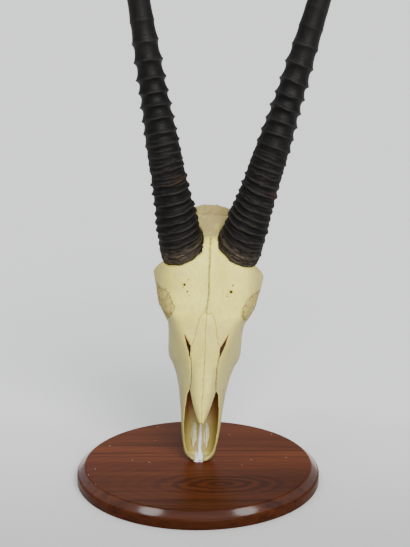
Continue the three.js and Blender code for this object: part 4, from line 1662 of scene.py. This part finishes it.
    def inner_walls(self, skin: Skin) -> np.ndarray:
        """Where the skin is a wall of the nasal passage.

        Args:
            skin: The worked skin.

        Returns:
            From 0 to 1 at each point.
        """
        passage = BVHTree.FromPolygons(*self.passage_mesh())
        depth = np.array([passage.find_nearest(point)[3] for point in skin.where.tolist()])
        within = fade(depth, 1.8, 0.7) * fade(skin.where[:, 2], 8, 14)
        within *= 1 - fade(-skin.where[:, 1], 30, 33) * fade(-skin.normal[:, 1], 0.1, 0.3)
        heights, middles = zip(*self.passage_middle)
        middle = np.interp(skin.where[:, 2], heights, middles)
        inwards = skin.normal[:, 0] * -skin.where[:, 0] + skin.normal[:, 1] * (middle - skin.where[:, 1])
        return within * fade(inwards, -1, 1.5)

    def paint_layers(self, skin: Skin, tan: np.ndarray) -> None:
        """Paints the layers that the finish reads.

        Args:
            skin: The worked skin.
            tan: How tan each point is.
        """
        skull, mesh, where = skin.piece, skin.mesh, skin.where
        within = self.inner_walls(skin)
        deep = np.zeros(len(where))
        for outline in self.nose_slits:
            slit = near_line(skin.flat, outline + outline[:1]) < 0.7
            # The slit floors get painted shade, less towards their tops.
            below = slit * fade(where[:, 1], -40.5, -38.5)
            within = np.maximum(within, slit * 0.8)
            deep = np.maximum(deep, below * (1 - 0.6 * fade(skin.flat[:, 1], 162, 178)))
        hollow = np.clip(mesh.smoothed(mesh.hollow(24, 2.5), 3), 0, 1)
        low = fade(where[:, 2] + 10 * blotches(where, (15, 15, 25), 31, 2), 92, 48)
        # Painted shade on the flanks, from the way each bit of surface faces.
        level = mesh.smoothed(skin.normal, 6)
        level /= np.linalg.norm(level, axis=1, keepdims=True)
        flank_shade = fade(np.abs(level[:, 0]), 0.15, 0.75) * fade(level[:, 1], -0.2, -0.45)
        flank_shade += fade(level[:, 1], -0.45, -0.2)
        paint(skull, "inside", within)
        paint(skull, "slit", deep)
        paint(skull, "low", low)
        paint(skull, "seam", np.clip(skin.seam, 0, 1))
        paint(skull, "tan", tan)
        # Hollows: partly dirt, partly painted shade.
        paint(skull, "dirt", hollow * (1 - within))
        # Painted highlight along the forehead's low ridge.
        paint(skull, "crown", self.ridge(skin) * skin.front)
        paint(skull, "flank_shade", np.clip(flank_shade, 0, 1) * (1 - within))
        paint(skull, "age", np.clip(self.age(where), 0, 1.15) * (1 - within))

    def age(self, where: np.ndarray) -> np.ndarray:
        """How much darker beige the bone is painted: painted shade on the outer brows and partly at the crown
        between the horns, darker towards the back, the bridge and the tip, and blotchy all over.

        Args:
            where: The points.

        Returns:
            From 0 to over 1 at each point.
        """
        behind = 0.5 * fade(where[:, 1], 0, 40)
        bridge = 0.38 * fade(where[:, 2], 212, 190)
        # The crown between the horns: partly painted shade, partly the bone's own darker colour.
        crown = 1.2 * fade(where[:, 2], 316, 332)
        tip = 0.6 * fade(where[:, 2], 34, 8)
        # Painted shade on the outer brows, more on the animal's right.
        brow = 0.42 * fade(np.abs(where[:, 0] - 10), 28, 66) * fade(where[:, 2], 226, 250)
        mottle = 1 + 0.45 * blotches(where, (11, 11, 11), 51.0, 4)
        return (bridge + crown + tip + brow + behind) * mottle

    def sculpt(self, skull: bpy.types.Object) -> None:
        """Works the fine relief into the skin and paints it.

        Args:
            skull: The carved skull.
        """
        self.refine_lines(skull)
        skin = Skin(skull)
        self.soften(skin)
        wander = blotches(skin.where, (9, 9, 9), 3.0, 3)[:, None] * (0.5, 0.5)
        self.groove(skin, wander)
        skin.push += self.brow_ridge[2] * self.ridge(skin) * skin.front
        tan = self.tan_patches(skin, wander)
        self.swell(skin)
        move_to(skull, skin.where + skin.normal * skin.push[:, None])
        self.paint_layers(skin, tan)

    def passage_mesh(self) -> tuple[list, list]:
        """The nasal passage's skin as points and triangles.

        Returns:
            The points, and three point numbers to each triangle.
        """
        rings = level_rings(self.passage, 80, 3)
        levels, sides = rings.shape[:2]
        faces = []
        for level in range(levels - 1):
            for number in range(sides):
                a = level * sides + number
                b = level * sides + (number + 1) % sides
                faces += [(a, b, b + sides), (a, b + sides, a + sides)]
        return rings.reshape(-1, 3).tolist(), faces

    def build(self, material: bpy.types.Material) -> bpy.types.Object:
        """Builds the skull and dresses it.

        Args:
            material: Its finish.

        Returns:
            The skull.
        """
        skull = self.carve()
        log.info("skull carved: %d faces", len(skull.data.polygons))
        self.sculpt(skull)
        self.pose.settle(skull)
        shade_smooth(skull)
        hand_over(skull, material, ["skull"])
        return skull


# ---- teeth


@dataclass
class Tooth:
    """One cheek tooth: two lobes in a row, folded on the cheek side, with a worn ridged crown."""

    name: str
    side: Side
    height: float
    out: float
    length: float
    width: float
    crown: float
    pose: HeadPose
    palate_slope: float = math.atan2(-62, 195)
    gum: float = 9.0
    root: float = 9.0
    gap: float = 0.35
    sides: int = 72

    def build(self, material: bpy.types.Material) -> bpy.types.Object:
        """Builds the tooth and dresses it.

        Args:
            material: Its finish.

        Returns:
            The tooth.
        """
        levels = np.concatenate([np.linspace(-self.root, self.crown, 30), [self.crown + 0.01] * 8])
        share = np.interp(levels, [-self.root, self.crown * 0.75, self.crown], [0.86, 1, 0.9])
        share[30:] *= np.linspace(0.95, 0.05, 8)
        angle = np.arange(self.sides) * 2 * math.pi / self.sides
        lobe = 1 - 0.13 * np.abs(np.sin(angle)) ** 7 - 0.05 * np.cos(angle * 6) * (np.sin(angle) > 0)
        across = (self.width / 2) * lobe * np.sin(angle)
        along = (self.length / 2 - self.gap / 2) * np.cos(angle)
        rings = np.stack([share[:, None] * across, np.repeat(levels[:, None], self.sides, 1),
                          share[:, None] * along], axis=2)
        flat = rings.reshape(-1, 3)
        cusp = np.cos(flat[:, 2] / self.length * 4 * math.pi) * 0.9 - np.exp(-(flat[:, 0] / 1.6) ** 2) * 1.4
        worn = fade(flat[:, 1], self.crown * 0.8, self.crown)
        rough = blotches(flat, (1.6, 4, 1.6), self.height, 2)
        flat[:, 1] += worn * (cusp - 1.2)
        flat[:, [0, 2]] *= (1 + 0.02 * rough)[:, None]
        tilt = np.array(Matrix.Rotation(self.palate_slope, 3, "X"))
        depth = self.gum - math.tan(self.palate_slope) * self.height
        placed = flat @ tilt.T + (self.out, depth, self.height)
        stain = np.clip(worn * np.exp(-(flat[:, 0] / 2.2) ** 2) + fade(flat[:, 1], 4, 0)
                        + 0.6 * np.exp(-(flat[:, 2] / 1.2) ** 2), 0, 1)
        name = f"{self.side.name.lower()}_{self.name}"
        shaped = for_side(placed, self.side).reshape(rings.shape)
        piece = loft(name + "_crown", shaped, {"stain": stain})
        self.pose.settle(piece)
        shade_smooth(piece)
        hand_over(piece, material, [name])
        return piece


# ---- plaster


@dataclass
class Plaster:
    """The lump of plaster in and behind the tip of the muzzle."""

    pose: HeadPose
    grain: float = 0.8
    ridge: Bar = (
        (0, 4, 8, 3.6, 3), (0, 7.5, 16, 2.5, 2.6), (0, 12.5, 28, 2.3, 2.4), (0, 17, 42, 2.1, 2.2),
        (0, 20.5, 54, 1.5, 1.5))
    smear: Bar = (
        (9.4, 9.6, 19, 0.8, 0.9), (10, 12.6, 27, 1.7, 1.9), (9.6, 15.4, 37, 1.9, 2.1),
        (8.8, 19, 48, 1.7, 1.9), (8, 21.5, 55, 0.9, 1.0))
    foot_gap: Lump = ((1.2, -1.5, 0.4), (2.4, 4, 1.5))
    stations: Stations = field(default_factory=lambda: [
        (-26, [(0, 0), (8, 0), (16, -8), (18, -18), (12, -30), (0, -33)]),
        (0, [(0, 2), (5.5, 1), (10, -6), (14, -15), (10, -26), (0, -28)]),
        (5, [(0, 0.5), (4, -1.5), (8.5, -8), (14, -16), (10, -26), (0, -28)]),
        (10, [(0, -2.5), (2.6, -5), (8, -10), (13.5, -17), (9, -26), (0, -28)]),
        (15, [(0, -6.5), (2, -9), (8, -12.5), (14, -18), (9, -27), (0, -29)]),
        (34, [(0, -15.5), (7, -15.5), (13, -15.5), (14, -20), (9, -28), (0, -30)]),
        (52, [(0, -21.5), (5, -21.5), (12, -21.5), (12, -25), (8, -30), (0, -32)]),
        (60, [(0, -26), (3, -26), (6, -27), (6, -28), (3, -30), (0, -31)]),
    ])

    def build(self, ground: bpy.types.Object, material: bpy.types.Material) -> bpy.types.Object:
        """Builds the lump and dresses it.

        Args:
            ground: A block that the lump is cut off by.
            material: Its finish.

        Returns:
            The lump.
        """
        lump = loft("plaster_fill", level_rings(self.stations, 64, 1.5))
        add(lump, loft("ridge", bar_rings(list(self.ridge), 30, 24)))
        for side in Side:
            add(lump, loft("smear", for_side(bar_rings(list(self.smear), 24, 24), side)))
        voxel_skin(lump, self.grain)
        where = places(lump)
        rough = blotches(where, (4, 4, 4), 2.0, 4) * (0.9 - 0.6 * fade(where[:, 2], 14, 22))
        move_to(lump, where + facing(lump) * rough[:, None])
        cut(lump, ball("gap", *self.foot_gap), ground)
        # Hollows of the lump, for painted shade.
        paint(lump, "pit", np.clip(Neighbours(lump).hollow(4, 0.25), 0, 1))
        where = places(lump)
        middle = 0.25 + 0.55 * fade(where[:, 2], 30, 48)
        beside = fade(np.abs(where[:, 0]), 3, 5)
        # Olive grey higher up, most at the sides.
        paint(lump, "old", fade(where[:, 2], 15, 26) * (middle + (1 - middle) * beside))
        self.pose.settle(lump)
        shade_smooth(lump, 50)
        hand_over(lump, material, ["plaster"])
        return lump


# ---- base


@dataclass
class Base:
    """The round turned base: a disc with a broad chamfer round its top. Metres."""

    radius: float
    height: float
    chamfer_width: float = 0.0125
    chamfer_drop: float = 0.0105
    edge_round: float = 0.0014
    round_steps: int = 4
    sharp: float = 25.0
    sides: int = 240

    def build(self, material: bpy.types.Material) -> bpy.types.Object:
        """Builds the base and dresses it.

        Args:
            material: Its finish.

        Returns:
            The base.
        """
        wall = self.height - self.chamfer_drop
        bpy.ops.object.select_all(action="DESELECT")
        bpy.ops.mesh.primitive_cylinder_add(vertices=self.sides, radius=self.radius, depth=wall,
                                            location=(0, 0, wall / 2))
        disc = bpy.context.object
        disc.name = disc.data.name = "base_board"
        pick(disc)
        bpy.ops.object.transform_apply(location=True)
        choose_faces(disc, [face.normal.z > 0.9 for face in disc.data.polygons])
        share = (self.radius - self.chamfer_width) / self.radius
        bpy.ops.mesh.extrude_region_move(TRANSFORM_OT_translate={"value": (0, 0, self.chamfer_drop)})
        bpy.ops.transform.resize(value=(share, share, 1))
        bpy.ops.object.mode_set(mode="OBJECT")
        finish_modifier(disc, "BEVEL", width=self.edge_round, segments=self.round_steps,
                        limit_method="ANGLE", angle_limit=math.radians(self.sharp))
        shade_smooth(disc, 40)
        hand_over(disc, material, ["base"])
        return disc


# ---- studio


@dataclass(frozen=True)
class Lamp:
    """A wide soft light that falls the same everywhere, from a place towards the origin."""

    name: str
    place: Triple
    spread: float
    power: float
    colour: Triple = (1.0, 1.0, 1.0)

    def hang(self) -> None:
        """Hangs the light in the scene."""
        light = bpy.data.lights.new(self.name, "SUN")
        light.angle, light.energy, light.color = math.radians(self.spread), self.power, self.colour
        holder = bpy.data.objects.new(self.name, light)
        holder.location = self.place
        holder.rotation_euler = (-Vector(self.place)).to_track_quat("-Z", "Y").to_euler()
        bpy.context.scene.collection.objects.link(holder)


@dataclass
class Studio:
    """The floor, the soft lights and the camera. Metres and degrees."""

    camera_place: Triple = (0.010, -1.737, 0.762)
    camera_tilt: float = 75.3
    focal_pixels: float = 1286.7
    picture_height: int = 547
    sensor: float = 36.0
    floor_reach: float = 60.0
    # One light over the camera, a weaker one behind, and a window on either side.
    lamps: tuple[Lamp, ...] = (
        Lamp("key", (0.5, -1.55, 1.3), 40, 4.4, (1.0, 0.99, 0.97)),
        Lamp("back", (-0.5, 1.8, 2.4), 60, 0.8),
        Lamp("window", (1.04, -0.265, 2.03), 14, 0.38),
        Lamp("window", (-1.04, -0.265, 2.03), 14, 0.38))
    air_colour: Colour = (0.90, 0.94, 1.0, 1)
    air_power: float = 0.5

    def floor(self, material: bpy.types.Material) -> None:
        """A floor that reaches past the picture's edges.

        Args:
            material: Its finish.
        """
        bpy.ops.object.select_all(action="DESELECT")
        bpy.ops.mesh.primitive_circle_add(vertices=96, radius=self.floor_reach, fill_type="NGON")
        floor = bpy.context.object
        floor.name = floor.data.name = "paper"
        floor.data.materials.append(material)

    def lights(self) -> None:
        """Hangs the lamps and fills the room with soft light."""
        for lamp in self.lamps:
            lamp.hang()
        world = bpy.data.worlds.new("air")
        world.use_nodes = True
        air = world.node_tree.nodes["Background"].inputs
        air["Color"].default_value = self.air_colour
        air["Strength"].default_value = self.air_power
        bpy.context.scene.world = world

    def camera(self) -> None:
        """The camera, level and looking a little down."""
        data = bpy.data.cameras.new("camera")
        data.sensor_width = self.sensor
        data.lens = self.sensor * self.focal_pixels / self.picture_height
        holder = bpy.data.objects.new("camera", data)
        holder.location = self.camera_place
        holder.rotation_euler = (math.radians(self.camera_tilt), 0, 0)
        bpy.context.scene.collection.objects.link(holder)
        bpy.context.scene.camera = holder


# ---- the whole


# Distance up the horn of each ring, and how far it stands out.
LEFT_RINGS = (
    (1, 1.0), (11, 0.9), (21, 1.3), (34, 2.4), (43, 1.8), (51, 2.0), (61, 1.8), (72, 2.0), (86, 2.5),
    (99, 2.0), (110, 0.9), (119, 1.1), (131, 1.2), (151, 1.8), (168.5, 2.6), (186.5, 3.0), (206, 3.6),
    (225.5, 3.5), (245.5, 3.5), (271, 3.0), (298.5, 1.8), (326, 0.8), (354, 0.3))
RIGHT_RINGS = (
    (1, 1.1), (12, 1.1), (22, 1.3), (32, 2.6), (42.5, 2.8), (53, 2.8), (67, 2.6), (81.5, 2.7), (95, 2.4),
    (113, 1.3), (122, 1.0), (134, 1.1), (149.5, 2), (165.5, 2.6), (184.5, 3.2), (203, 3.6), (222, 3.5),
    (242, 3.7), (267.5, 3.2), (294.5, 2.2), (323.5, 1), (357, 0.4))

TEETH = [
    ("front_premolar", 99, 21.5, 10.5, 8.5, 10),
    ("middle_premolar", 111, 24, 12, 10.5, 11),
    ("rear_premolar", 124, 26.5, 12.5, 13, 12),
    ("front_molar", 139, 29, 15.5, 15, 13),
    ("middle_molar", 157, 31, 18.5, 16, 14),
    ("rear_molar", 177.5, 31, 20.5, 15, 14),
]


def main() -> None:
    """Builds the trophy and its room."""
    studio = Studio()
    studio.camera()
    studio.lights()
    studio.floor(PaperFinish().material())
    pose = HeadPose()
    low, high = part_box("base")
    Base(radius=(high.x - low.x) / 2, height=high.z).build(WoodFinish().material())
    horns = [
        Horn(Side.LEFT, (44.0, -21, 316), (16.1, 13.7, 13.2), pose, LEFT_RINGS,
             ((92, 75, 12), (80, 100, 7)), thick=1.025),
        Horn(Side.RIGHT, (-42.3, -22, 312), (14.3, 11.8, 11), pose, RIGHT_RINGS,
             ((96, -35, 10), (98, -95, 9), (368, -40, 12))),
    ]
    skull = Skull(pose, horns)
    Plaster(pose).build(skull.ground(), PlasterFinish().material())
    skull.build(BoneFinish().material())
    keratin = HornFinish().material()
    for horn in horns:
        horn.build(keratin)
    enamel = ToothFinish().material()
    for side in Side:
        for name, height, out, length, width, crown in TEETH:
            Tooth(name, side, height, out, length, width, crown, pose).build(enamel)


if __name__ == "__main__":
    main()
